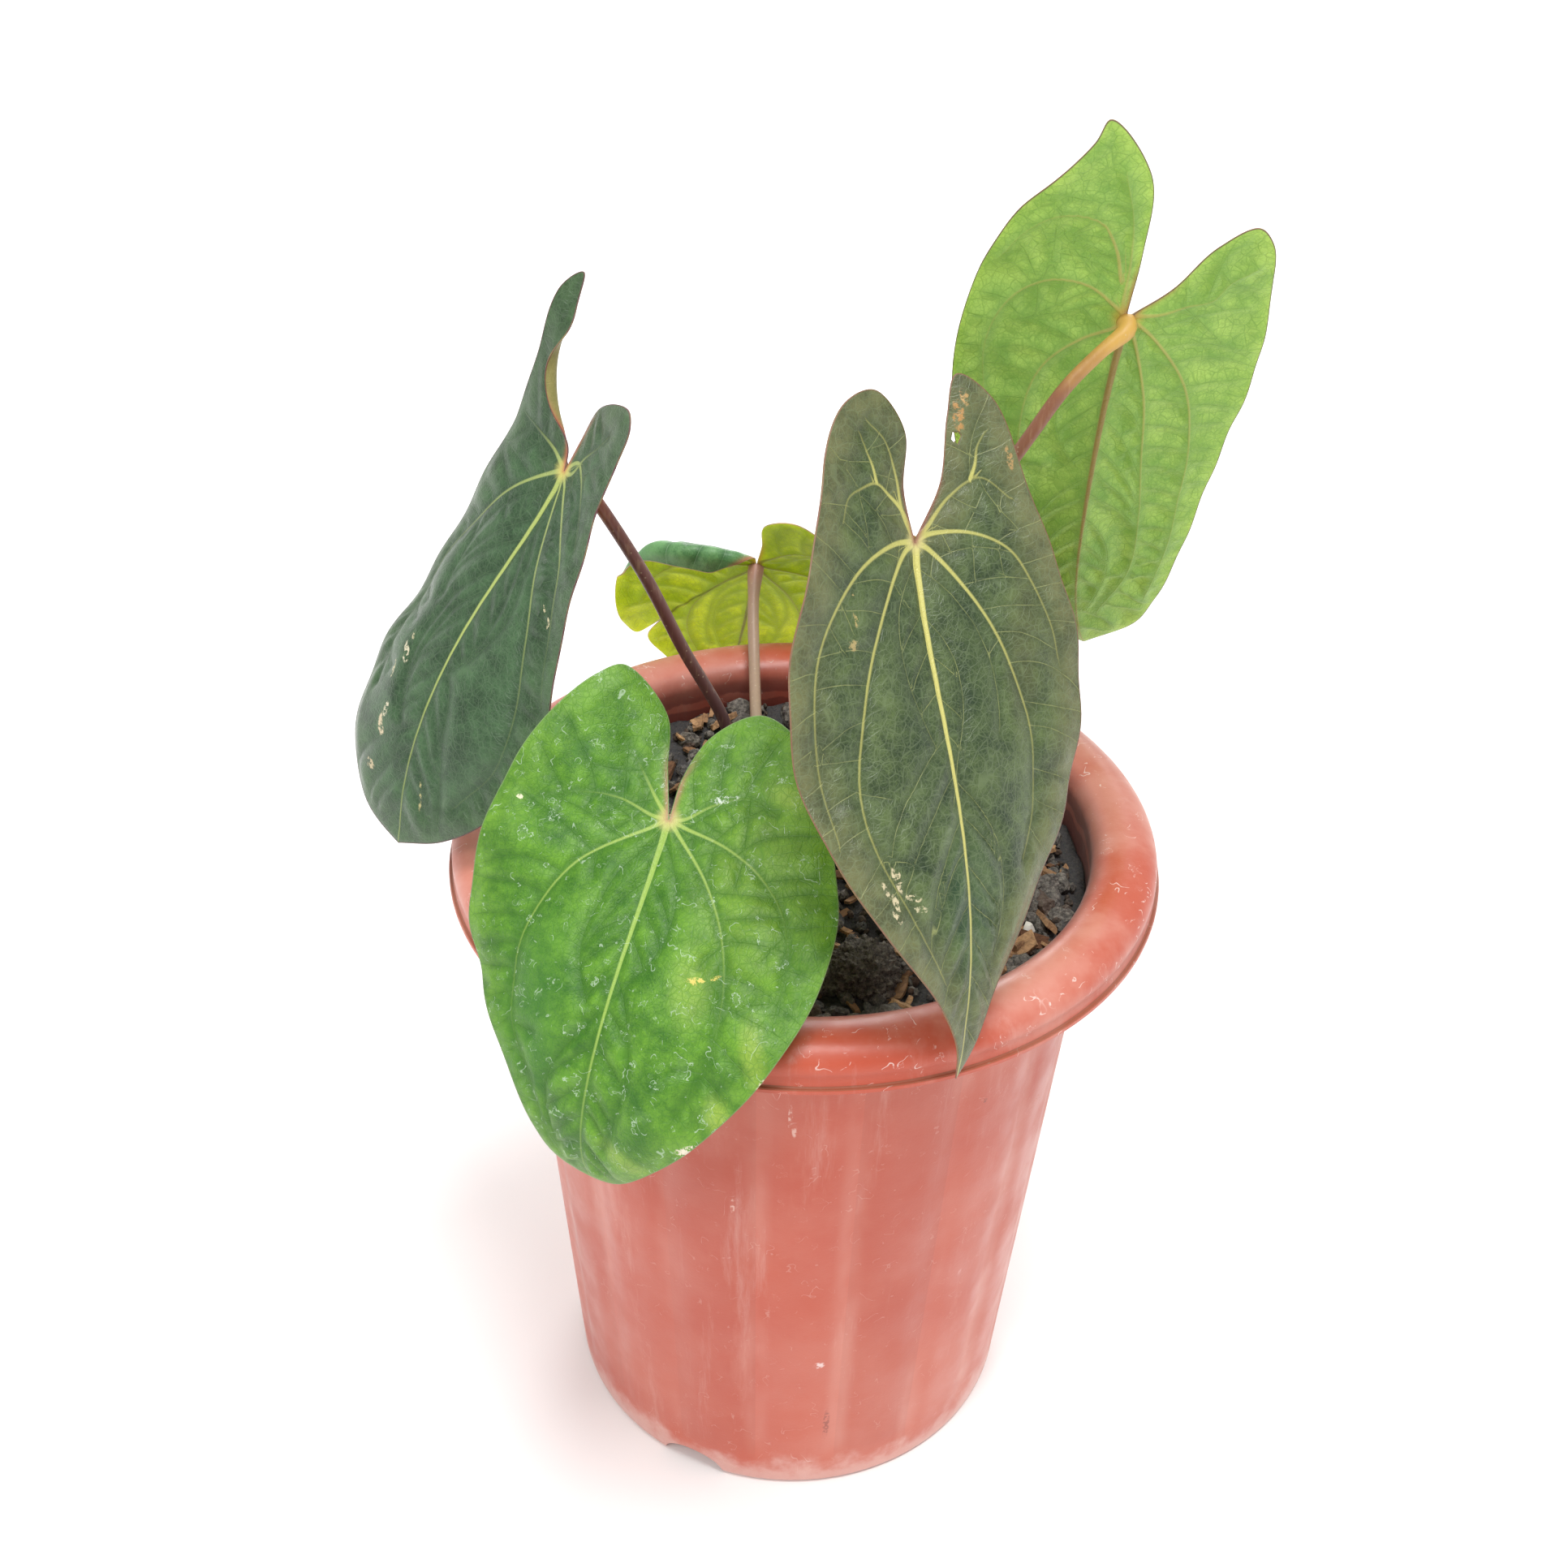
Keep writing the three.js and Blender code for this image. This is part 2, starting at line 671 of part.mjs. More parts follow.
// Flat places of one half: rays from the hub, the first along the sinus, the last the midrib
function flatHalf(leaf, side) {
  const half = side < 0 ? leaf.left : leaf.right;
  const points = [[0, 0], ...half.sinus, ...half.margin, [0, leaf.length]];
  const outline = new THREE.CatmullRomCurve3(
    points.map(([x, y]) => new THREE.Vector3(x, y, 0)),
    false,
    "centripetal",
  );
  const spans = points.length - 1;
  const sinusSpans = half.sinus.length + 1;
  const apex = outline.getPoint(sinusSpans / spans);
  const rays = (spans - sinusSpans) * blade.raysPerSpan;
  const rows = [];
  for (let i = 0; i <= rays; i++) {
    const share = i / rays;
    const end = outline.getPoint((sinusSpans + share * (spans - sinusSpans)) / spans);
    const pull = Math.max(0, 1 - share / 0.35) ** 2;
    const row = [];
    for (let j = 0; j <= leaf.steps; j++) {
      const reach = j / leaf.steps;
      const sinus = outline.getPoint((reach * sinusSpans) / spans);
      const point = end.clone().multiplyScalar(reach);
      point.addScaledVector(sinus.addScaledVector(apex, -reach), pull);
      row.push([side * Math.max(point.x, 0), point.y]);
    }
    rows.push(row);
  }
  return rows;
}

// A blade: upper and lower faces split into the same triangles, joined round the edge
function bladeGeometry(leaf) {
  const places = [];
  const corners = [];
  const seen = new Map();
  const vertex = (x, y, ridge) => {
    const key = x.toFixed(4) + "," + y.toFixed(4);
    if (!seen.has(key)) {
      const point = liftPoint(leaf, x, y);
      const normal = bladeNormal(leaf, x, y);
      const half = blade.thickness / 2;
      places.push(...point.clone().addScaledVector(normal, half).toArray());
      places.push(...point.clone().addScaledVector(normal, -half - ridge).toArray());
      seen.set(key, places.length / 3 - 2);
    }
    return seen.get(key);
  };
  const loop = [];
  for (const side of [1, -1]) {
    const rows = flatHalf(leaf, side);
    const last = rows.length - 1;
    const ids = rows.map((row, i) =>
      row.map(([x, y], j) => vertex(x, y, i === last || j === 0 ? blade.midrib * (1 - j / leaf.steps) : 0)),
    );
    for (let i = 0; i < last; i++) {
      for (let j = 0; j < leaf.steps; j++) {
        const quad = [ids[i][j], ids[i + 1][j], ids[i + 1][j + 1], ids[i][j + 1]];
        if (side < 0) quad.reverse();
        for (const [a, b, c] of [[0, 1, 2], [0, 2, 3]]) {
          corners.push(quad[a], quad[b], quad[c]);
          corners.push(quad[c] + 1, quad[b] + 1, quad[a] + 1);
        }
      }
    }
    const edge = [...ids[0].slice(0, -1), ...ids.map((row) => row[leaf.steps])];
    if (side < 0) edge.reverse();
    loop.push(...edge.slice(0, -1));
  }
  loop.forEach((from, k) => {
    const to = loop[(k + 1) % loop.length];
    corners.push(from, to, from + 1);
    corners.push(to, to + 1, from + 1);
  });
  return new THREE.BufferGeometry()
    .setAttribute("position", new THREE.Float32BufferAttribute(places, 3))
    .setIndex(corners);
}

// A stalk: from the crown's top to just under its blade's hub
function stalkGeometry(leaf) {
  const hub = new THREE.Vector3(...leaf.hub);
  const { along, up } = leaf.midrib.find((row) => row.y === 0);
  const under = hub
    .clone()
    .addScaledVector(along, 0.6)
    .addScaledVector(up, -blade.thickness / 2 - blade.midrib - seat);
  const knee = under.clone().addScaledVector(up, -stalk.kneeRise);
  const towards = Math.atan2(hub.y - crown.y, hub.x - crown.x);
  const foot = new THREE.Vector3(
    crown.x + crown.stalkRing * Math.cos(towards),
    crown.y + crown.stalkRing * Math.sin(towards),
    crown.top + seat,
  );
  const rise = foot.clone().add(new THREE.Vector3(0, 0, 6));
  const route = [foot, rise, ...leaf.via.map((p) => new THREE.Vector3(...p)), knee, under];
  const length = new THREE.CatmullRomCurve3(route, false, "centripetal").getLength();
  const radiusAt = (t) => {
    const base = 1 - THREE.MathUtils.smoothstep(t * length, 0, stalk.baseLength);
    const bent = 1 - THREE.MathUtils.smoothstep((1 - t) * length, 0, stalk.kneeLength);
    return (
      stalk.radius +
      (stalk.baseRadius - stalk.radius) * base +
      (stalk.kneeRadius - stalk.radius) * bent
    );
  };
  return tube(route, radiusAt, stalk.sides, stalk.steps);
}

const plant = new THREE.Group();
plant.add(buildPot());
plant.add(buildMix());
plant.add(piece("crown", crownSolid(0), finishes.crown));
for (const leaf of leaves) {
  leaf.midrib = walkMidrib(leaf);
  plant.add(piece("blade_" + leaf.name, toSolid(bladeGeometry(leaf)), finishes[leaf.name]));
  plant.add(piece("stalk_" + leaf.name, toSolid(stalkGeometry(leaf)), finishes.stalk));
}

export default plant;
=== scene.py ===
import math
import random

import bpy
import numpy as np
from mathutils import Euler, Matrix, Quaternion, Vector, noise


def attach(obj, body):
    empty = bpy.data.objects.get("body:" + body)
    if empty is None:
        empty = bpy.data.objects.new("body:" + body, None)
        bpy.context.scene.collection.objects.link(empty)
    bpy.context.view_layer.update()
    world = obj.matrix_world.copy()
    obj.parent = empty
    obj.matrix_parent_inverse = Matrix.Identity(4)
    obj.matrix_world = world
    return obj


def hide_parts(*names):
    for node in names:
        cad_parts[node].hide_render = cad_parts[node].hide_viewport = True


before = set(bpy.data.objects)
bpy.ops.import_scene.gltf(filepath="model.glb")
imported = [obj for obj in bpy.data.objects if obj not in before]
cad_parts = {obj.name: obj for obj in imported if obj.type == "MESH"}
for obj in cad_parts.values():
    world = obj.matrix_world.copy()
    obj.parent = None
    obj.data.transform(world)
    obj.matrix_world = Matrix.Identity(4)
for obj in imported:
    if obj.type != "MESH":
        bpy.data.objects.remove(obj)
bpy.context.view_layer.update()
mm = 0.001
print("frame loaded")


# Camera, with its places and lens in millimetres and its roll in degrees
view = {
    "eye": (-6.62, -472.28, 563.2),
    "target": (-6.62, 0, 232.38),
    "lens": 44.762,
    "roll": 1.506,
}
# Floor and light, in metres
studio = {
    "floor": 24.0,
    "floorColour": "FAF9F8",
    "skyTop": 0.85,
    "skyLow": 0.3,
    "horizon": 0.92,
    "sunPower": 1.7,
    "sunFrom": (0.2, -0.3, 1.6),
    "sunAngle": 22,  # degrees across, so shadows stay soft
    "fillPower": 5.0,
    "fillPlace": (-0.5, -0.9, 1.3),
    "fillSize": 0.45,
    "backPower": 7.0,
    "backPlace": (0.1, 1.3, 0.75),
    "backSize": 0.8,
    "lightAim": (0, 0, 0.25),
}


def linear(code):
    # sRGB hex code to the linear colour that the shaders take
    parts = [int(code[i:i + 2], 16) / 255 for i in (0, 2, 4)]
    return (*(p / 12.92 if p <= 0.04045 else ((p + 0.055) / 1.055) ** 2.4 for p in parts), 1.0)


def deselect():
    if bpy.context.object and bpy.context.object.mode != "OBJECT":
        backToObject()
    bpy.ops.object.select_all(action="DESELECT")


def backToObject():
    bpy.ops.object.mode_set(mode="OBJECT")


def choose(piece):
    deselect()
    piece.select_set(True)
    bpy.context.view_layer.objects.active = piece


def editAll(piece):
    choose(piece)
    bpy.ops.object.mode_set(mode="EDIT")
    bpy.ops.mesh.select_all(action="SELECT")


def placed(piece, name):
    # the place, turn and size go into the mesh, and the object stays at the origin
    choose(piece)
    bpy.ops.object.transform_apply(location=True, rotation=True, scale=True)
    piece.name = name
    piece.data.name = name
    return piece


def joined(pieces):
    deselect()
    for piece in pieces:
        piece.select_set(True)
    bpy.context.view_layer.objects.active = pieces[0]
    bpy.ops.object.join()
    return bpy.context.object


def smooth(piece, material):
    piece.data.materials.append(material)
    choose(piece)
    bpy.ops.object.shade_smooth()


def readVerts(piece):
    spots = np.empty(len(piece.data.vertices) * 3, np.float32)
    piece.data.vertices.foreach_get("co", spots)
    return spots.reshape(-1, 3).astype(float)


def writeVerts(piece, spots):
    piece.data.vertices.foreach_set("co", np.asarray(spots, np.float32).ravel())
    piece.data.update()


def setMask(piece, name, values):
    made = piece.data.attributes.get(name) or piece.data.attributes.new(name, "FLOAT", "POINT")
    made.data.foreach_set("value", np.asarray(values, np.float32).ravel())


def getMask(piece, name):
    values = np.empty(len(piece.data.vertices), np.float32)
    piece.data.attributes[name].data.foreach_get("value", values)
    return values.astype(float)


def smoothStep(value, low, high):
    share = np.clip((np.asarray(value, float) - low) / (high - low), 0, 1)
    return share * share * (3 - 2 * share)


def turned(name, sides, start, rings, middle=(0, 0)):
    # a disc pulled up and resized from ring to ring, each a radius and a height in millimetres
    radius, level = start
    x, y = middle[0] * mm, middle[1] * mm
    deselect()
    bpy.ops.mesh.primitive_circle_add(vertices=sides, radius=radius * mm, fill_type="NGON",
                                      location=(x, y, level * mm))
    piece = placed(bpy.context.object, name)
    editAll(piece)
    for nextRadius, nextLevel in rings:
        rise = (nextLevel - level) * mm
        bpy.ops.mesh.extrude_region_move(TRANSFORM_OT_translate={"value": (0, 0, rise)})
        k = nextRadius / radius
        bpy.ops.transform.resize(value=(k, k, 1), center_override=(x, y, nextLevel * mm))
        radius, level = nextRadius, nextLevel
    bpy.ops.mesh.select_all(action="SELECT")
    bpy.ops.mesh.normals_make_consistent(inside=False)
    backToObject()
    return piece


def aimAt(thing, eye, target):
    thing.location = eye
    thing.rotation_euler = (Vector(target) - Vector(eye)).to_track_quat("-Z", "Y").to_euler()


def setUpStudio():
    deselect()
    bpy.ops.object.camera_add()
    camera = bpy.context.object
    camera.name = "camera"
    camera.data.lens = view["lens"]
    camera.data.sensor_width = 36
    camera.data.dof.use_dof = False
    camera.data.clip_start = 0.01
    eye = Vector(view["eye"]) * mm
    ahead = (Vector(view["target"]) * mm - eye).normalized()
    level = ahead.cross(Vector((0, 0, 1))).normalized()
    steep = level.cross(ahead)
    roll = math.radians(view["roll"])
    right = level * math.cos(roll) + steep * math.sin(roll)
    above = steep * math.cos(roll) - level * math.sin(roll)
    turn = Matrix((right, above, -ahead)).transposed()
    camera.matrix_world = Matrix.Translation(eye) @ turn.to_4x4()
    bpy.context.scene.camera = camera

    bpy.ops.mesh.primitive_plane_add(size=studio["floor"])
    floor = bpy.context.object
    floor.name = "floor"
    material, tree, shader = newMaterial("paleFloor")
    fill(shader, {"Base Color": linear(studio["floorColour"]), "Roughness": 0.8})
    floor.data.materials.append(material)

    # a pale room: brighter overhead, and a bright band at the horizon that the leaves mirror
    bpy.context.scene.view_settings.view_transform = "Standard"
    world = bpy.data.worlds.new("paleRoom")
    world.use_nodes = True
    sky = world.node_tree
    height = addNode(sky, "SeparateXYZ", None, {0: addNode(sky, "TexCoord")["Generated"]})[2]
    overhead = height.ease(-0.1, 0.9, studio["skyLow"], studio["skyTop"])
    band = height.ease(0.02, 0.3, studio["horizon"], studio["skyLow"])
    fill(sky.nodes["Background"], {"Color": (1, 1, 1, 1), "Strength": overhead.most(band)})
    bpy.context.scene.world = world
    bpy.ops.object.light_add(type="SUN")
    sun = bpy.context.object
    sun.name = "sunLight"
    sun.data.energy = studio["sunPower"]
    sun.data.angle = math.radians(studio["sunAngle"])
    aimAt(sun, studio["sunFrom"], (0, 0, 0))
    for name in ("fill", "back"):
        bpy.ops.object.light_add(type="AREA")
        light = bpy.context.object
        light.name = name + "Light"
        light.data.shape = "DISK"
        light.data.energy = studio[name + "Power"]
        light.data.size = studio[name + "Size"]
        aimAt(light, studio[name + "Place"], studio["lightAim"])


# Shader helpers. A field is one output of a node, and sums on it add Math nodes to its tree.
class field:
    def __init__(self, tree, socket):
        self.tree, self.socket = tree, socket

    def calc(self, operation, *others):
        return addNode(self.tree, "Math", {"operation": operation}, dict(enumerate((self, *others))))[0]

    def __add__(self, other):
        return self.calc("ADD", other)

    def __sub__(self, other):
        return self.calc("SUBTRACT", other)

    def __rsub__(self, other):
        return addNode(self.tree, "Math", {"operation": "SUBTRACT"}, {0: other, 1: self})[0]

    def __mul__(self, other):
        return self.calc("MULTIPLY", other)

    def __truediv__(self, other):
        return self.calc("DIVIDE", other)

    def __rtruediv__(self, other):
        return addNode(self.tree, "Math", {"operation": "DIVIDE"}, {0: other, 1: self})[0]

    def __pow__(self, other):
        return self.calc("POWER", other)

    def __abs__(self):
        return self.calc("ABSOLUTE")

    def most(self, other):
        return self.calc("MAXIMUM", other)

    def ease(self, low, high, first=0.0, last=1.0):
        # runs smoothly from first to last while the value goes from low to high
        settings = {"interpolation_type": "SMOOTHSTEP"}
        return addNode(self.tree, "MapRange", settings, {0: self, 1: low, 2: high, 3: first, 4: last})[0]

    def fade(self, low, high):
        return self.ease(low, high, 1, 0)

    def vector(self, operation, *others, output=0):
        return addNode(self.tree, "VectorMath", {"operation": operation},
                       dict(enumerate((self, *others))))[output]

    def stretched(self, scale):
        return addNode(self.tree, "Mapping", None, {"Vector": self, "Scale": scale})[0]

    def noise(self, scale, detail=3.0, rough=0.55, twist=0.0, output="Fac"):
        inputs = {"Vector": self, "Scale": scale, "Detail": detail, "Roughness": rough, "Distortion": twist}
        return addNode(self.tree, "TexNoise", None, inputs)[output]

    def cells(self, scale, feature="F1"):
        return addNode(self.tree, "TexVoronoi", {"feature": feature}, {"Vector": self, "Scale": scale})

    def bump(self, strength, distance):
        return addNode(self.tree, "Bump", None, {"Strength": strength, "Distance": distance, "Height": self})[0]

    def pick(self, first, second):
        # one of two colours, by this mask
        return addNode(self.tree, "Mix", {"data_type": "RGBA"}, {0: self, 6: first, 7: second})[2]

    def paint(self, mask, code):
        # this colour with another over it where the mask shows
        return mask.pick(self, linear(code))


class results:
    def __init__(self, tree, node):
        self.tree, self.node = tree, node

    def __getitem__(self, key):
        return field(self.tree, self.node.outputs[key])


def fill(node, inputs):
    # each input takes a number or a colour, or a link from a field
    for key, value in inputs.items():
        if isinstance(value, field):
            value.tree.links.new(value.socket, node.inputs[key])
        else:
            node.inputs[key].default_value = value


def addNode(tree, kind, settings=None, inputs=None):
    made = tree.nodes.new("ShaderNode" + kind)
    for key, value in (settings or {}).items():
        setattr(made, key, value)
    fill(made, inputs or {})
    return results(tree, made)


def newMaterial(name):
    material = bpy.data.materials.new(name)
    material.use_nodes = True
    tree = material.node_tree
    return material, tree, tree.nodes["Principled BSDF"]


def newGroup(name, inputs, outputs):
    # an input without a number takes a vector, and each output is a mask
    tree = bpy.data.node_groups.new(name, "ShaderNodeTree")
    for label, value in inputs.items():
        kind = "NodeSocketVector" if value is None else "NodeSocketFloat"
        socket = tree.interface.new_socket(label, in_out="INPUT", socket_type=kind)
        if value is not None:
            socket.default_value = value
    for label in outputs:
        tree.interface.new_socket(label, in_out="OUTPUT", socket_type="NodeSocketFloat")
    entry = results(tree, tree.nodes.new("NodeGroupInput"))
    return tree, entry, tree.nodes.new("NodeGroupOutput")


def useGroup(tree, name, inputs=None):
    return addNode(tree, "Group", {"node_tree": bpy.data.node_groups[name]}, inputs)


def readMask(tree, name):
    return addNode(tree, "Attribute", {"attribute_name": name})["Fac"]


# Shared effects
def makeSharedEffects():
    # veins, ribs and margin of a leaf from the distances kept on its mesh, in millimetres, with a painted shade mask
    # for the grooves beside them
    tree, entry, leave = newGroup(
        "leafVeins",
        {"Soft": 0.25, "Net Width": 0.19, "Margin Width": 0.45},
        ("Vein", "Net", "Margin", "Near Vein", "Crease Shade"),
    )
    away, width = readMask(tree, "veinDist"), readMask(tree, "veinWidth")
    ribDist, edgeDist = readMask(tree, "ribDist"), readMask(tree, "edgeDist")
    line = abs(readMask(tree, "veinSide")).fade(width - entry["Soft"], width + entry["Soft"])
    rib = abs(readMask(tree, "ribSide")).fade(0.0, entry["Net Width"])
    # painted shade: darker in the grooves beside the ribs and veins, fading out towards the margin
    low = ribDist.fade(0.0, 2.2).most(away.fade(0.6, 2.8))
    fill(leave, {
        "Vein": line * away.fade(width + 0.9, width + 1.6),
        "Net": rib * ribDist.fade(0.9, 1.6),
        "Margin": edgeDist.fade(0.0, entry["Margin Width"]),
        "Near Vein": away.fade(0.0, 5.0),
        "Crease Shade": low * edgeDist.ease(1.0, 6.0),
    })

    # small cells and soft mottling of leaf tissue
    tree, entry, leave = newGroup(
        "leafTissue",
        {"Vector": None, "Cells": 34.0, "Patches": 9.0},
        ("Lines", "Mottle", "Grain"),
    )
    chart = entry["Vector"]
    moved = chart.noise(14.0, 2.0, 0.5, output="Color").vector("MULTIPLY_ADD", (0.03, 0.03, 0.0), chart)
    coarse = moved.cells(entry["Cells"], "DISTANCE_TO_EDGE")["Distance"].fade(0.0, 0.07)
    fine = moved.cells(entry["Cells"] * 2.3, "DISTANCE_TO_EDGE")["Distance"].fade(0.0, 0.12)
    fill(leave, {
        "Lines": coarse.most(fine * 0.6),
        "Mottle": chart.noise(entry["Patches"], 8.0, 0.68),
        "Grain": chart.noise(190.0, 3.0, 0.75),
    })

    # torn outlines and specks of dried drops that hard water leaves
    tree, entry, leave = newGroup("limescale", {"Vector": None, "Drops": 20.0, "Amount": 0.5}, ("Mask",))
    spot, drops, amount = entry["Vector"], entry["Drops"], entry["Amount"]
    warp = spot.noise(drops * 1.1, 4.0, 0.65, output="Color").vector("SUBTRACT", (0.5, 0.5, 0.5))
    push = addNode(tree, "VectorMath", {"operation": "SCALE"}, {0: warp, "Scale": 1.5 / drops})[0]
    moved = push.vector("ADD", spot)
    drop, speck = moved.cells(drops), moved.cells(drops * 2.7)
    own = addNode(tree, "SeparateColor", None, {0: drop["Color"]})
    ownSpeck = addNode(tree, "SeparateColor", None, {0: speck["Color"]})
    size = own[1].calc("MULTIPLY_ADD", 0.26, 0.1)
    ring = abs(drop["Distance"] - size).fade(0.0, 0.024)
    broken = spot.noise(drops * 2.2, 3.0).ease(0.47, 0.53)
    chosen = own[0].calc("LESS_THAN", amount)
    film = drop["Distance"].ease(size, size * 0.8) * 0.05
    dots = speck["Distance"].fade(0.025, 0.055) * ownSpeck[1].calc("LESS_THAN", amount * 0.35)
    fill(leave, {"Mask": (ring * broken * chosen).most(film * chosen).most(dots)})

    # one dry scar or spot at a place of the flat blade, long and wide in millimetres
    tree, entry, leave = newGroup(
        "leafScar",
        {"Vector": None, "Centre": None, "Turn": 0.0, "Long": 3.0, "Wide": 1.0},
        ("Mask", "Haze"),
    )
    chart = entry["Vector"]
    moved = chart.noise(45.0, 3.0, 0.5, output="Color").vector("MULTIPLY_ADD", (0.018, 0.018, 0.0), chart)
    apart = moved.vector("SUBTRACT", (0.009, 0.009, 0.0)).vector("SUBTRACT", entry["Centre"])
    spun = addNode(tree, "VectorRotate", {"rotation_type": "Z_AXIS"}, {"Vector": apart, "Angle": entry["Turn"]})[0]
    parts = addNode(tree, "SeparateXYZ", None, {0: spun})
    far = (parts[0] / (entry["Long"] * 0.01)) ** 2.0 + (parts[1] / (entry["Wide"] * 0.01)) ** 2.0
    far = far.calc("SQRT")
    torn = chart.noise(62.0, 5.0, 0.7).ease(0.46, 0.54)
    fill(leave, {"Mask": far.fade(0.8, 1.15) * torn, "Haze": far.fade(0.2, 1.2)})

    # thin curls where water ran and dried: broken level lines of a soft noise
    tree, entry, leave = newGroup("curls", {"Vector": None, "Scale": 60.0}, ("Mask",))
    spot, scale = entry["Vector"], entry["Scale"]
    line = abs(spot.noise(scale, 2.0, 0.5) - 0.56).fade(0.002, 0.009)
    fill(leave, {"Mask": line * spot.noise(scale * 1.7, 3.0).ease(0.54, 0.6)})

    # fine scratches and rubbed patches on plastic
    tree, entry, leave = newGroup("scuffs", {"Vector": None, "Scale": 60.0, "Amount": 0.5}, ("Scratch", "Rub"))
    spot, scale = entry["Vector"], entry["Scale"]
    thin = abs(spot.stretched((1.0, 1.0, 0.25)).noise(scale, 2.0) - 0.5).fade(0.0, 0.008)
    gate = spot.noise(scale * 0.5, 3.0).ease(0.75 - entry["Amount"] * 0.2, 0.75)
    rub = spot.stretched((1.0, 1.0, 0.09)).noise(scale * 1.2, 6.0, 0.7).ease(0.55, 0.78)
    fill(leave, {"Scratch": thin * gate, "Rub": rub})


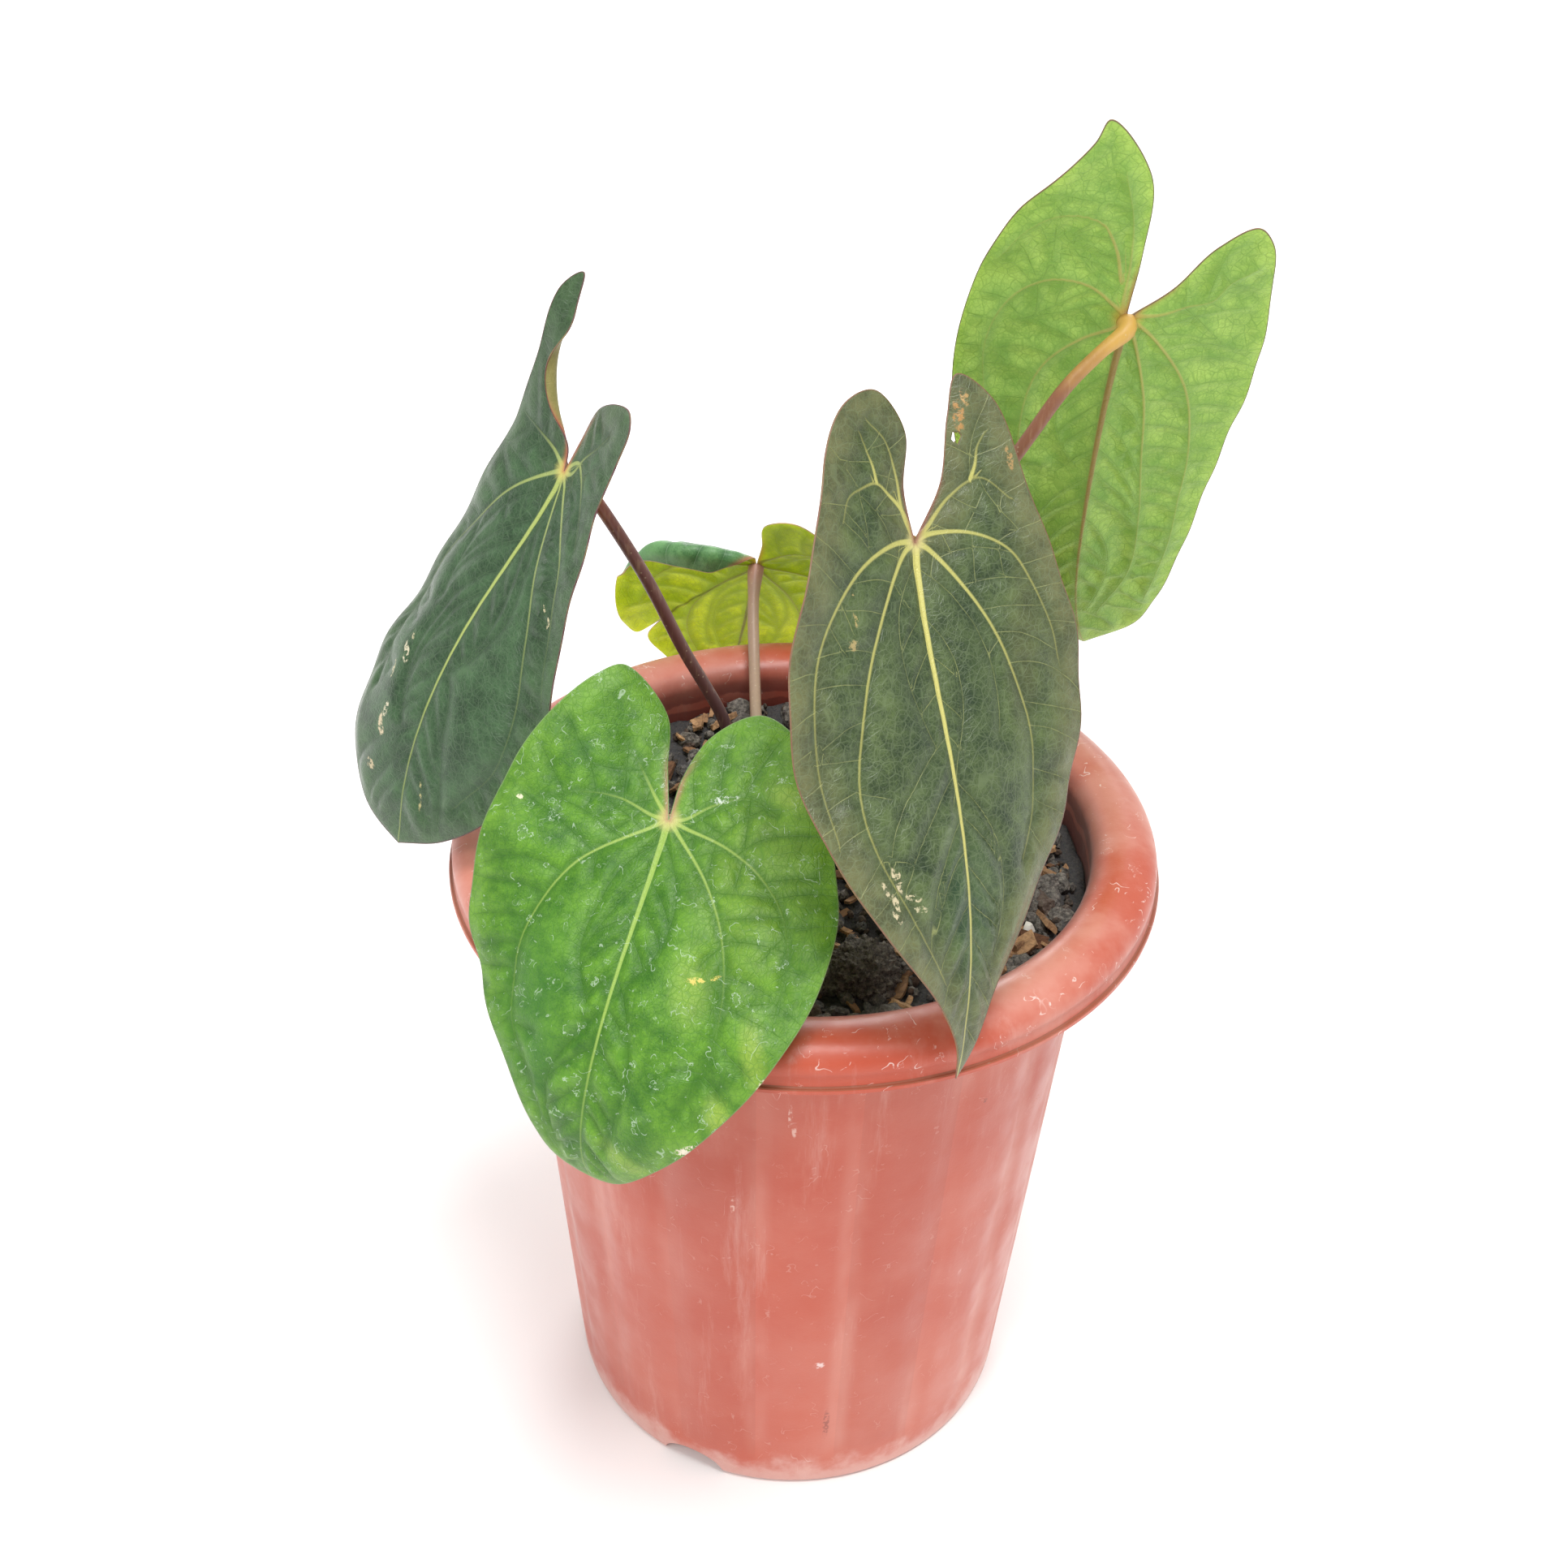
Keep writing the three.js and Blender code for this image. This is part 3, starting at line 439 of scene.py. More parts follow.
# Leaf blades: the flat outline, how it is carried by the midrib, and the look of each face.
# Flat places are millimetres across from the midrib (left is negative) and towards the tip.
bladeForm = {
    "thickness": 0.8,
    "rimThickness": 0.36,
    "midribWidth": (0.2, 0.62, 1.6),  # at the tip, how much more at the hub, and how fast it narrows
    "veinWidth": (0.14, 0.34, 1.3),
    "midribRidge": 0.8,
    "veinRidge": 0.3,
    "cupWidth": 40,  # each half's cup is its bend over this width
    "wave": 0.6,
    "waveLength": 27,
    "stride": 2.5,  # longest step of the walk along the midrib
    "rays": 120,  # columns of faces in each half
    "steps": 88,  # rows of faces from the hub to the margin
}
leaves = {
    "front_right": {
        "hub": (24.6, -32.8, 331), "length": 139.3, "lobe": 40.5, "heading": 10, "dip": 50, "roll": -22.5,
        "droop": (-5, -22, 29, 52), "sway": (0, 15, 3.5, -7.5), "twist": (-6.5, -6.5, -20.5, -5.5),
        "via": ((-5, 17, 232), (4, 2, 266), (13, -14, 300)),
        "left": {
            "fold": (14, 16, -0.5), "cup": (-5, 0.5, -16.5), "sinus": ((3, -13), (2, -28)),
            "margin": ((12, -37), (22.5, -32.5), (30.5, -18.5), (36.5, 0), (44.5, 21), (47, 44.5),
                       (42.5, 69.5), (30.5, 94.5), (12, 117), (2.5, 131)),
        },
        "right": {
            "fold": (13.5, 12, -2), "cup": (-5.5, -5, 0), "sinus": ((8, -15.5), (10, -33)),
            "margin": ((12.5, -44), (22.5, -38.5), (30.5, -22), (38.5, 0), (44.5, 21), (47, 44.5),
                       (42.5, 69.5), (27.5, 94.5), (11.5, 117), (5.5, 131)),
        },
        "veins": (
            ((-4, 3), (-17, 23), (-26, 45), (-29.5, 69), (-21.5, 90.5), (-10, 111)),
            ((-7, 1), (-22, 9), (-34, 22), (-39.5, 38.5), (-39.5, 56), (-38, 73)),
            ((-4, -7.5), (-8, -11), (-12.5, -13.5), (-18.5, -11.5), (-23.5, -8.5), (-26, -2.5)),
            ((-12.5, -13.5), (-13.5, -17.5), (-15.5, -21.5), (-17.5, -25.5)),
            ((-4, -7.5), (-5.5, -16), (-8.5, -24.5), (-15, -29)),
            ((4, 2), (15.5, 16), (23.5, 32.5), (28.5, 50), (29, 68), (23, 85)),
            ((4, -2), (16, -2.5), (26.5, 2), (33, 11.5), (37, 22.5), (40, 34)),
            ((3.5, -3.5), (10.5, -12), (19.5, -17.5), (28.5, -12)),
            ((16.5, -16.5), (18, -21), (18.5, -25.5), (20.5, -29.5)),
        ),
        "hole": (12.5, -27.5, 0.9), "veinWeight": 1.15, "quilt": 1.4, "pleat": 1.5, "ribSpacing": 10.5, "seed": 3,
    },
    "front_left": {
        "hub": (-36.8, -55.7, 258.9), "length": 116.2, "lobe": 37, "heading": -15.5, "dip": 31, "roll": -3,
        "droop": (2.5, 5, 84.5, 166), "sway": (0, -15, -8.5, 4), "twist": (10, 10, 8.5, -9.5),
        "via": ((-19, 12, 222), (-27, -12, 234), (-33, -32, 244.5)),
        "left": {
            "fold": (17, 4.5, -4), "cup": (1, -8, -22), "sinus": ((4, -14), (8, -29)),
            "margin": ((22.5, -39), (29, -34.5), (39.5, -20), (47.5, 0), (49.5, 17.5), (50.5, 37),
                       (43, 58.5), (28.5, 79), (15.5, 98), (9.5, 109)),
        },
        "right": {
            "fold": (-0.5, 4, 2), "cup": (-8, -7, -7), "sinus": ((0.5, -12.5), (5.5, -26)),
            "margin": ((17, -35), (27, -31), (37.5, -18), (45, 0), (51.5, 17.5), (51.5, 37),
                       (45, 58.5), (33, 79), (18, 98), (8.5, 109)),
        },
        "veins": (
            ((-3, 2.5), (-20.7, 17.8), (-30.1, 39.5), (-29.1, 62.7), (-17.3, 83.5), (-7.4, 104.7)),
            ((-4, 0), (-14.3, -3), (-25.2, -2.5), (-35.6, 1.5)),
            ((-4.4, -4.4), (-8.4, -9.4), (-12.4, -14.3), (-16.8, -18.8)),
            ((4, 4), (14.8, 14.8), (23.7, 27.7), (29.1, 42.5), (30.1, 58.3), (25.7, 73.1)),
            ((4.9, 1.5), (16.8, 4.4), (28.2, 9.9), (37, 18.3), (42, 29.6), (43, 41.5)),
            ((3.5, -0.5), (10.9, -6.4), (19.3, -9.9), (27.7, -6.9)),
        ),
        "veinWeight": 0.8, "quilt": 1.4, "pleat": 1.7, "ribSpacing": 9.5, "seed": 7,
    },
    "left": {
        "hub": (-69.3, 18.4, 323.3), "length": 120.9, "lobe": 39.5, "heading": -62.5, "dip": 58, "roll": -5,
        "droop": (3, -45.5, 30, 68), "sway": (0, 4.5, 16, 11), "twist": (6.5, 6.5, -17.5, -5.5),
        "via": ((-25.4, 30, 234), (-37.6, 25.9, 262.2), (-50.2, 21.3, 293.1)),
        "left": {
            "fold": (28.5, 21.5, -0.5), "cup": (-5.5, -42, -24.5),
            "sinus": ((5.5, -15), (11, -29), (15.5, -41)),
            "margin": ((17.5, -51), (22.5, -45), (24, -25), (29.5, 0), (33, 18), (36.5, 38.5),
                       (40, 60.5), (40, 82.5), (32, 101.5), (19.5, 114)),
            "curl": {"centre": (-15.5, -33), "ring": 33.6, "inward": True, "lift": 1, "radius": 2.6,
                     "angle": 150, "full": -17, "none": -45},
        },
        "right": {
            "fold": (18, 12.5, -4.5), "cup": (-17.5, -8, -12.5), "sinus": ((1, -10), (4, -20.5)),
            "margin": ((22.5, -28), (26.5, -24.5), (26.5, -14), (29, 0), (34.5, 18), (37, 38.5),
                       (41.5, 60.5), (40, 82.5), (32, 101.5), (17.5, 114)),
        },
        "veins": (
            ((-3.6, 2.6), (-14.4, 13.4), (-23.2, 26.8), (-31.4, 40.2), (-34, 62), (-31, 82)),
            ((-7.2, -3.1), (-15.5, -4.6), (-23.7, -5.7)),
            ((2.1, 5.2), (12.4, 23.7), (22.7, 42.2), (29.9, 62.8), (30.9, 83.4), (20.1, 102)),
            ((5.7, 4.6), (15.5, 12.9), (24.7, 22.1), (29.4, 34), (33.5, 46.4), (38, 58.2)),
            ((4.1, -0.5), (7.2, -6.7), (11.8, -11.8), (16, -17.5)),
            ((5.2, -4.6), (10.8, -2.6), (16, 1), (22, 7), (26.5, 14)),
        ),
        "veinWeight": 1.0, "quilt": 1.3, "pleat": 1.3, "ribSpacing": 8.5, "seed": 11,
    },
    "back_right": {
        "hub": (82.3, 31.2, 366.6), "length": 144.2, "lobe": 48.5, "heading": 194.5, "dip": 71, "roll": 16,
        "droop": (1, 16, -22, -18), "sway": (0, -10.5, -7.5, -30.5), "twist": (-0.5, -0.5, 13, 4.5),
        "via": ((12, 31, 245), (38, 26, 296), (58, 20, 336.5), (66.5, 18.8, 352), (75.5, 23, 360.5)),
        "left": {
            "fold": (-1.5, 4.5, 11.5), "cup": (-6.5, 1.5, 3.5), "sinus": ((10, -11), (17, -27)),
            "margin": ((25, -36), (30.5, -31.5), (35, -18), (39, 0), (40.5, 21.5), (38.5, 46),
                       (35, 72), (30.5, 98), (24.5, 121), (17, 135.5)),
        },
        "right": {
            "fold": (-2, 10.5, 6), "cup": (-6, -3, -6), "sinus": ((1.2, -21.5), (6, -46)),
            "margin": ((21, -61.5), (23, -54), (35.5, -30.5), (42.5, 0), (44, 21.5), (41, 46),
                       (35.5, 72), (30.5, 98), (24, 121), (16.5, 135.5)),
        },
        "veins": (
            ((-2.5, 4), (-10.5, 27), (-14, 51.5), (-16.5, 76), (-15.5, 100.5), (-6, 123)),
            ((-5.5, 2.5), (-20.5, 21), (-27, 44.5), (-27.5, 69), (-26, 93.5), (-21, 117.5)),
            ((-2.5, -1), (-9, -3), (-15, -6.5), (-21, -9), (-24, -16.5), (-29, -23)),
            ((1.5, -2.5), (3.5, -18), (7, -33), (13, -47)),
            ((4.5, -12.5), (8.5, -22.5), (15, -30.5), (25.5, -30.5), (33, -22.5), (37, -12.5)),
            ((3, -3), (12, -8.5), (22, -8), (29.5, -2), (34.5, 7), (36, 17), (33, 36), (29, 60)),
            ((0.5, 1.5), (10.5, 9), (18.5, 18.5), (22, 30.5), (22, 52), (20, 76), (16, 100)),
        ),
        "veinWeight": 1.0, "quilt": 1.7, "pleat": 2.3, "ribSpacing": 9.5, "seed": 17,
    },
    "back": {
        "hub": (-17.9, 111.8, 244.5), "length": 84.8, "lobe": 33.5, "heading": 188, "dip": 57, "roll": 11.5,
        "droop": (-0.5, 12, 25, 30), "sway": (0, 14, 3.5, 0), "twist": (-6, -6, 0.5, 0),
        "via": ((-16, 56, 216), (-17.5, 80, 224), (-18.5, 98, 235)),
        "left": {
            "fold": (-13, 5, 5), "cup": (-11, -5, -5), "sinus": ((1, -13), (1.5, -27.5)),
            "margin": ((12.5, -37), (23.5, -32.5), (33, -18.5), (40.5, 0), (45.5, 12.5), (46, 27),
                       (41.5, 42.5), (31, 57.5), (20, 71), (9, 79.5)),
        },
        "right": {
            "fold": (5, 4.5, 0), "cup": (-5, -5, -11.5), "sinus": ((1.5, -6.5), (6, -14)),
            "margin": ((14, -20), (26, -18), (36, -11), (43.5, 2), (46.5, 16), (46.5, 32),
                       (42.5, 44.5), (37, 51.5), (28, 39), (33, 53.5), (26, 63.5), (13, 76.5)),
            "curl": {"centre": (15.5, 20.5), "ring": 27.5, "inward": False, "lift": -1, "radius": 2.6,
                     "angle": 155, "full": 4, "none": 21},
        },
        "veins": (
            ((-2, 3), (-13, 18), (-20, 34), (-20, 50), (-11, 68)),
            ((-4, 0), (-20, 4), (-32, 16), (-36, 32), (-31, 48)),
            ((-3, -5), (-12, -14), (-22, -17), (-32, -8)),
            ((2, 3), (13, 18), (20, 34), (19, 48), (10, 66)),
            ((4, 0), (20, 3), (33, 14), (38, 30)),
            ((3, -3), (12, -8), (24, -8)),
        ),
        "veinWeight": 1.0, "quilt": 1.5, "pleat": 1.6, "ribSpacing": 9, "seed": 23,
    },
}


halves = ((-1, "left"), (1, "right"))


def catmull(points, places):
    # a centripetal Catmull-Rom curve through the points, at places from 0 to 1
    known = np.array(points, float)
    known = np.vstack([2 * known[0] - known[1], known, 2 * known[-1] - known[-2]])
    spans = len(points) - 1
    spot = np.clip(np.asarray(places, float), 0, 1) * spans
    span = np.minimum(spot.astype(int), spans - 1)
    share = (spot - span)[:, None]
    a, b, c, d = (known[span + k] for k in range(4))
    ab, bc, cd = (np.maximum(((p - q) ** 2).sum(1, keepdims=True) ** 0.25, 1e-4)
                  for p, q in ((a, b), (b, c), (c, d)))
    leave = ((b - a) / ab - (c - a) / (ab + bc) + (c - b) / bc) * bc
    arrive = ((c - b) / bc - (d - b) / (bc + cd) + (d - c) / cd) * bc
    cubic = 2 * b - 2 * c + leave + arrive
    square = 3 * c - 3 * b - 2 * leave - arrive
    return b + share * (leave + share * (square + share * cubic))


def eased(values, t):
    # a value at t, which is -1 at the lobes' end, 0 at the hub, 0.5 half way and 1 at the tip
    keys = np.array((-1, 0, 0.5, 1))
    values = np.array(tuple(values) + (values[-1],) * (4 - len(values)), float)
    t = np.clip(t, -1, 1)
    span = np.where(t < 0, 0, np.where(t < 0.5, 1, 2))
    u = (t - keys[span]) / (keys[span + 1] - keys[span])
    u = u * u * (3 - 2 * u)
    return values[span] * (1 - u) + values[span + 1] * u


def walkMidrib(leaf):
    # places along the midrib with directions along, across and up, from behind the lobes to the tip
    heading, dip, roll = (math.radians(leaf[key]) for key in ("heading", "dip", "roll"))
    along = Vector((math.sin(heading) * math.cos(dip), -math.cos(heading) * math.cos(dip), -math.sin(dip)))
    across = Quaternion(along, roll) @ Vector((math.cos(heading), math.sin(heading), 0))
    hub = (0.0, Vector(leaf["hub"]), along, across, along.cross(across))

    def walk(length):
        count = math.ceil(abs(length) / bladeForm["stride"])
        step = length / count
        y, point, along, across, up = hub
        rows = []
        for _ in range(count):
            middle = y + step / 2
            t = middle / (leaf["lobe"] if middle < 0 else leaf["length"])
            droop, sway, twist = (math.radians(float(eased(leaf[key], t))) * step / 100
                                  for key in ("droop", "sway", "twist"))
            ahead = (along - up * droop + across * sway).normalized()
            side = across - along * sway + up * twist
            side = (side - ahead * side.dot(ahead)).normalized()
            point = point + along * (step / 2) + ahead * (step / 2)
            y, along, across, up = y + step, ahead, side, ahead.cross(side)
            rows.append((y, point, along, across, up))
        return rows

    rows = walk(-leaf["lobe"] * 1.3)[::-1] + [hub] + walk(leaf["length"])
    keys = ("y", "point", "along", "across", "up")
    return {key: np.array([row[i] for row in rows]) for i, key in enumerate(keys)}


def liftFlat(leaf, flat):
    # where places of the flat blade lie in space, in millimetres
    spots = np.zeros((len(flat), 3))
    rows = leaf["midrib"]
    for side, key in halves:
        half = leaf[key]
        mine = flat[:, 0] < 0 if side < 0 else flat[:, 0] >= 0
        x, y = np.abs(flat[mine, 0]), flat[mine, 1].copy()
        height = np.zeros(len(x))
        if "curl" in half:
            curl = half["curl"]
            dx, dy = x - curl["centre"][0], y - curl["centre"][1]
            reach = np.maximum(np.hypot(dx, dy), 1e-9)
            sign = -1 if curl["inward"] else 1
            beyond = (reach - curl["ring"]) * sign
            part = smoothStep((y - curl["none"]) / (curl["full"] - curl["none"]), 0, 1)
            most = math.radians(curl["angle"]) * part + 1e-6
            turn = np.clip(beyond / curl["radius"], 0, most)
            rest = np.maximum(beyond - turn * curl["radius"], 0)
            move = np.where(beyond > 0, curl["radius"] * np.sin(turn) + rest * np.cos(turn) - beyond, 0)
            x = x + move * sign * dx / reach
            y = y + move * sign * dy / reach
            rolled = curl["radius"] * (1 - np.cos(turn)) + rest * np.sin(turn)
            height = np.where(beyond > 0, curl["lift"] * rolled, 0)
        t = np.where(y < 0, y / leaf["lobe"], y / leaf["length"])
        fold = np.radians(eased(half["fold"], t))
        bend = np.radians(eased(half["cup"], t)) / bladeForm["cupWidth"]
        bend = np.where(np.abs(bend) < 1e-9, 1e-6, bend)
        slope = fold + bend * x
        out = (np.sin(slope) - np.sin(fold)) / bend
        rise = (np.cos(fold) - np.cos(slope)) / bend
        edge = np.clip(x / bladeForm["cupWidth"], 0, 1.2)
        phase = (flat[mine, 1] + side * 9) / bladeForm["waveLength"] * 2 * math.pi
        height = height + bladeForm["wave"] * edge ** 2 * np.sin(phase)
        row = np.clip(np.searchsorted(rows["y"], y, side="left") - 1, 0, len(rows["y"]) - 2)
        share = ((y - rows["y"][row]) / (rows["y"][row + 1] - rows["y"][row]))[:, None]
        point, across, up = (rows[name][row] * (1 - share) + rows[name][row + 1] * share
                             for name in ("point", "across", "up"))
        spots[mine] = (point + across * (side * (out - height * np.sin(slope)))[:, None]
                       + up * (rise + height * np.cos(slope))[:, None])
    return spots


def bladeNormals(leaf, flat):
    stepX, stepY = np.array((0.2, 0)), np.array((0, 0.2))
    along = liftFlat(leaf, flat + stepY) - liftFlat(leaf, flat - stepY)
    across = liftFlat(leaf, flat + stepX) - liftFlat(leaf, flat - stepX)
    normals = np.cross(along, across)
    return normals / np.linalg.norm(normals, axis=1, keepdims=True)


def halfOutline(leaf, key):
    return ((0, 0), *leaf[key]["sinus"], *leaf[key]["margin"], (0, leaf["length"]))


def flatBlade(leaf, column, row):
    # column runs from the right sinus (-1) over the midrib (0) to the left sinus (1), row from hub to margin
    flat = np.zeros((len(column), 2))
    for side, key in halves:
        points = halfOutline(leaf, key)
        spans, sinusSpans = len(points) - 1, len(leaf[key]["sinus"]) + 1
        mine = column >= 0 if side < 0 else column < 0
        share, reach = 1 - np.abs(column[mine]), row[mine][:, None]
        apex = catmull(points, [sinusSpans / spans])
        end = catmull(points, (sinusSpans + share * (spans - sinusSpans)) / spans)
        pull = (np.maximum(0, 1 - share / 0.35) ** 2)[:, None]
        spot = end * reach + (catmull(points, reach[:, 0] * sinusSpans / spans) - reach * apex) * pull
        flat[mine] = np.c_[side * np.maximum(spot[:, 0], 0), spot[:, 1]]
    return flat


def awayFrom(spots, lines):
    # distance to the nearest line, the side of it, and how far along its line the nearest place is
    starts = np.vstack([line[:-1] for line in lines])
    ends = np.vstack([line[1:] for line in lines])
    shares = np.concatenate([np.linspace(0, 1, len(line))[:-1] for line in lines])
    which = np.concatenate([np.full(len(line) - 1, i) for i, line in enumerate(lines)])
    step = ends - starts
    length = np.maximum((step ** 2).sum(1), 1e-12)
    away, side, along, line = (np.zeros(len(spots)) for _ in range(4))
    for low in range(0, len(spots), 2000):
        part = spots[low:low + 2000]
        gap = part[:, None, :] - starts[None]
        t = np.clip((gap * step[None]).sum(2) / length, 0, 1)
        miss = gap - t[:, :, None] * step[None]
        square = (miss ** 2).sum(2)
        best = square.argmin(1)
        take = np.arange(len(part))
        away[low:low + 2000] = np.sqrt(square[take, best])
        cross = step[best, 0] * gap[take, best, 1] - step[best, 1] * gap[take, best, 0]
        side[low:low + 2000] = np.where(cross < 0, -1, 1) * away[low:low + 2000]
        along[low:low + 2000] = shares[best]
        line[low:low + 2000] = which[best]
    return away, side, along, line


def growRibs(leaf, veins, outline):
    # thin side ribs: steep and bending forward from the midrib, like a ladder outside the other veins
    draw = random.Random(leaf["seed"])
    ribs = []
    for number, vein in enumerate(veins):
        others = [line for i, line in enumerate(veins) if i != number]
        steps = np.linalg.norm(np.diff(vein, axis=0), axis=1)
        far = np.concatenate([[0], np.cumsum(steps)])
        spacing = leaf["ribSpacing"] * (1 if number == 0 else 0.85)
        spot = spacing * 0.8
        while spot < far[-1] - 3:
            for side in (-1, 1):
                place = spot + draw.uniform(-0.2, 0.2) * spacing
                k = min(max(int(np.searchsorted(far, place)) - 1, 0), len(vein) - 2)
                tangent = (vein[k + 1] - vein[k]) / max(steps[k], 1e-9)
                point = vein[k] + tangent * (place - far[k])
                outward = np.array((-tangent[1], tangent[0])) * side
                inner = number > 0 and point[1] > 4 and outward[0] * point[0] < 0
                if inner and draw.random() < 0.75:
                    continue
                low, high = (44, 56) if number == 0 else (62, 80)
                heading = math.atan2(tangent[1], tangent[0]) + side * math.radians(draw.uniform(low, high))
                bend = -side * math.radians(draw.uniform(1.2, 2.6) if number == 0 else draw.uniform(0, 2.5))
                path = [point]
                for _ in range(5 if inner else 34 if number == 0 else 18):
                    point = point + 1.5 * np.array((math.cos(heading), math.sin(heading)))
                    heading += bend + draw.gauss(0, 0.045)
                    path.append(point)
                    near = awayFrom(point[None], others + ribs)[0][0] < 0.8 if len(path) > 4 else False
                    if near or awayFrom(point[None], [outline])[0][0] < 1.2:
                        break
                if len(path) > 3:
                    ribs.append(np.array(path))
            spot += spacing
    return ribs


def makeBlade(name, leaf, materials):
    leaf["midrib"] = walkMidrib(leaf)
    deselect()
    bpy.ops.mesh.primitive_grid_add(x_subdivisions=bladeForm["rays"] * 2, y_subdivisions=bladeForm["steps"], size=2)
    blade = placed(bpy.context.object, "blade_" + name)
    start = readVerts(blade)
    flat = flatBlade(leaf, np.round(start[:, 0], 6), (start[:, 1] + 1) / 2)
    setMask(blade, "flatX", flat[:, 0])
    setMask(blade, "flatY", flat[:, 1])
    writeVerts(blade, liftFlat(leaf, flat) * mm)
    editAll(blade)
    bpy.ops.mesh.remove_doubles(threshold=0.000002)
    backToObject()
    if "hole" in leaf:
        x, y, radius = leaf["hole"]
        gone = np.hypot((getMask(blade, "flatX") - x) * 0.8, getMask(blade, "flatY") - y) < radius
        editAll(blade)
        bpy.ops.mesh.select_mode(type="VERT")
        bpy.ops.mesh.select_all(action="DESELECT")
        backToObject()
        blade.data.vertices.foreach_set("select", gone)
        bpy.ops.object.mode_set(mode="EDIT")
        bpy.ops.mesh.delete(type="VERT")
        backToObject()

    flat = np.c_[getMask(blade, "flatX"), getMask(blade, "flatY")]
    right = catmull(halfOutline(leaf, "right"), np.linspace(0, 1, 260))
    left = catmull(halfOutline(leaf, "left"), np.linspace(0, 1, 260)) * (-1, 1)
    outline = np.vstack([right, left[::-1]])
    veins = [np.c_[np.zeros(80), np.linspace(-1, leaf["length"], 80)]]
    for points in leaf["veins"]:
        if math.hypot(*points[0]) < 9:
            points = ((0, 0), *points)
        veins.append(catmull(points, np.linspace(0, 1, 12 * len(points))))
    ribs = growRibs(leaf, veins, outline)
    veinDist, veinSide, along, line = awayFrom(flat, veins)
    ribDist, ribSide = awayFrom(flat, ribs)[:2]
    edgeDist = awayFrom(flat, [outline])[0]
    sinus = [np.array(((0, 0), *leaf[key]["sinus"]), float) * (side, 1) for side, key in halves]
    fromHub = np.linalg.norm(flat, axis=1)
    sinusRib = np.exp(-(awayFrom(flat, sinus)[0] / 1.1) ** 2)
    sinusRib = sinusRib * (1 - smoothStep(fromHub, 7, 24)) * (flat[:, 1] < 1)
    midrib = line == 0
    widths = [least + more * (1 - along) ** power
              for least, more, power in (bladeForm["midribWidth"], bladeForm["veinWidth"])]
    width = np.where(midrib, *widths)
    width = leaf["veinWeight"] * width + 0.35 * np.exp(-fromHub / 7)
    masks = {"veinDist": veinDist, "veinSide": veinSide, "veinWidth": width, "veinAlong": along,
             "onMidrib": midrib, "sinusRib": sinusRib, "ribDist": ribDist, "ribSide": ribSide, "edgeDist": edgeDist}
    for key, values in masks.items():
        setMask(blade, key, values)

    # pillows between the veins and ribs, flat again at the margin
    quilt = leaf["quilt"] * (1 - np.exp(-veinDist / 5) - 0.5)
    towardsTip = 0.55 + 0.6 * smoothStep(flat[:, 1] / leaf["length"], 0.1, 0.8)
    pleat = leaf["pleat"] * towardsTip * (1 - np.exp(-((ribDist / 2.4) ** 1.4)) - 0.5)
    relief = (quilt + pleat * smoothStep(veinDist, 0, 3)) * smoothStep(edgeDist, 0, 6)
    normals = bladeNormals(leaf, flat)
    top = liftFlat(leaf, flat) + normals * (bladeForm["thickness"] / 2 + relief)[:, None]
    writeVerts(blade, top * mm)
    chart = blade.data.uv_layers[0]
    corners = np.empty(len(blade.data.loops), np.int32)
    blade.data.loops.foreach_get("vertex_index", corners)
    chart.data.foreach_set("uv", (flat[corners] / 100).astype(np.float32).ravel())
    count = len(flat)
    for material in materials:
        blade.data.materials.append(material)
    choose(blade)
    shell = blade.modifiers.new("thickness", "SOLIDIFY")
    shell.thickness = bladeForm["thickness"] * mm
    shell.offset = -1
    shell.material_offset = 1
    shell.material_offset_rim = 2
    bpy.ops.object.modifier_apply(modifier="thickness")
    spots = readVerts(blade)
    rim, full = bladeForm["rimThickness"], bladeForm["thickness"]
    thick = rim + (full - rim) * smoothStep(edgeDist, 0, 4)
    fade = 1 - np.clip(fromHub / leaf["length"], 0, 1)
    thick += bladeForm["midribRidge"] * fade * np.exp(-(np.abs(flat[:, 0]) / 1.3) ** 2) * (flat[:, 1] > -2)
    thick += bladeForm["veinRidge"] * np.where(midrib, 0, np.exp(-(veinDist / 0.9) ** 2)) * (0.3 + 0.7 * fade)
    spots[count:] = (top - normals * thick[:, None]) * mm
    writeVerts(blade, spots)
    bpy.ops.object.shade_smooth()
    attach(blade, "root")
    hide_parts("blade_" + name)


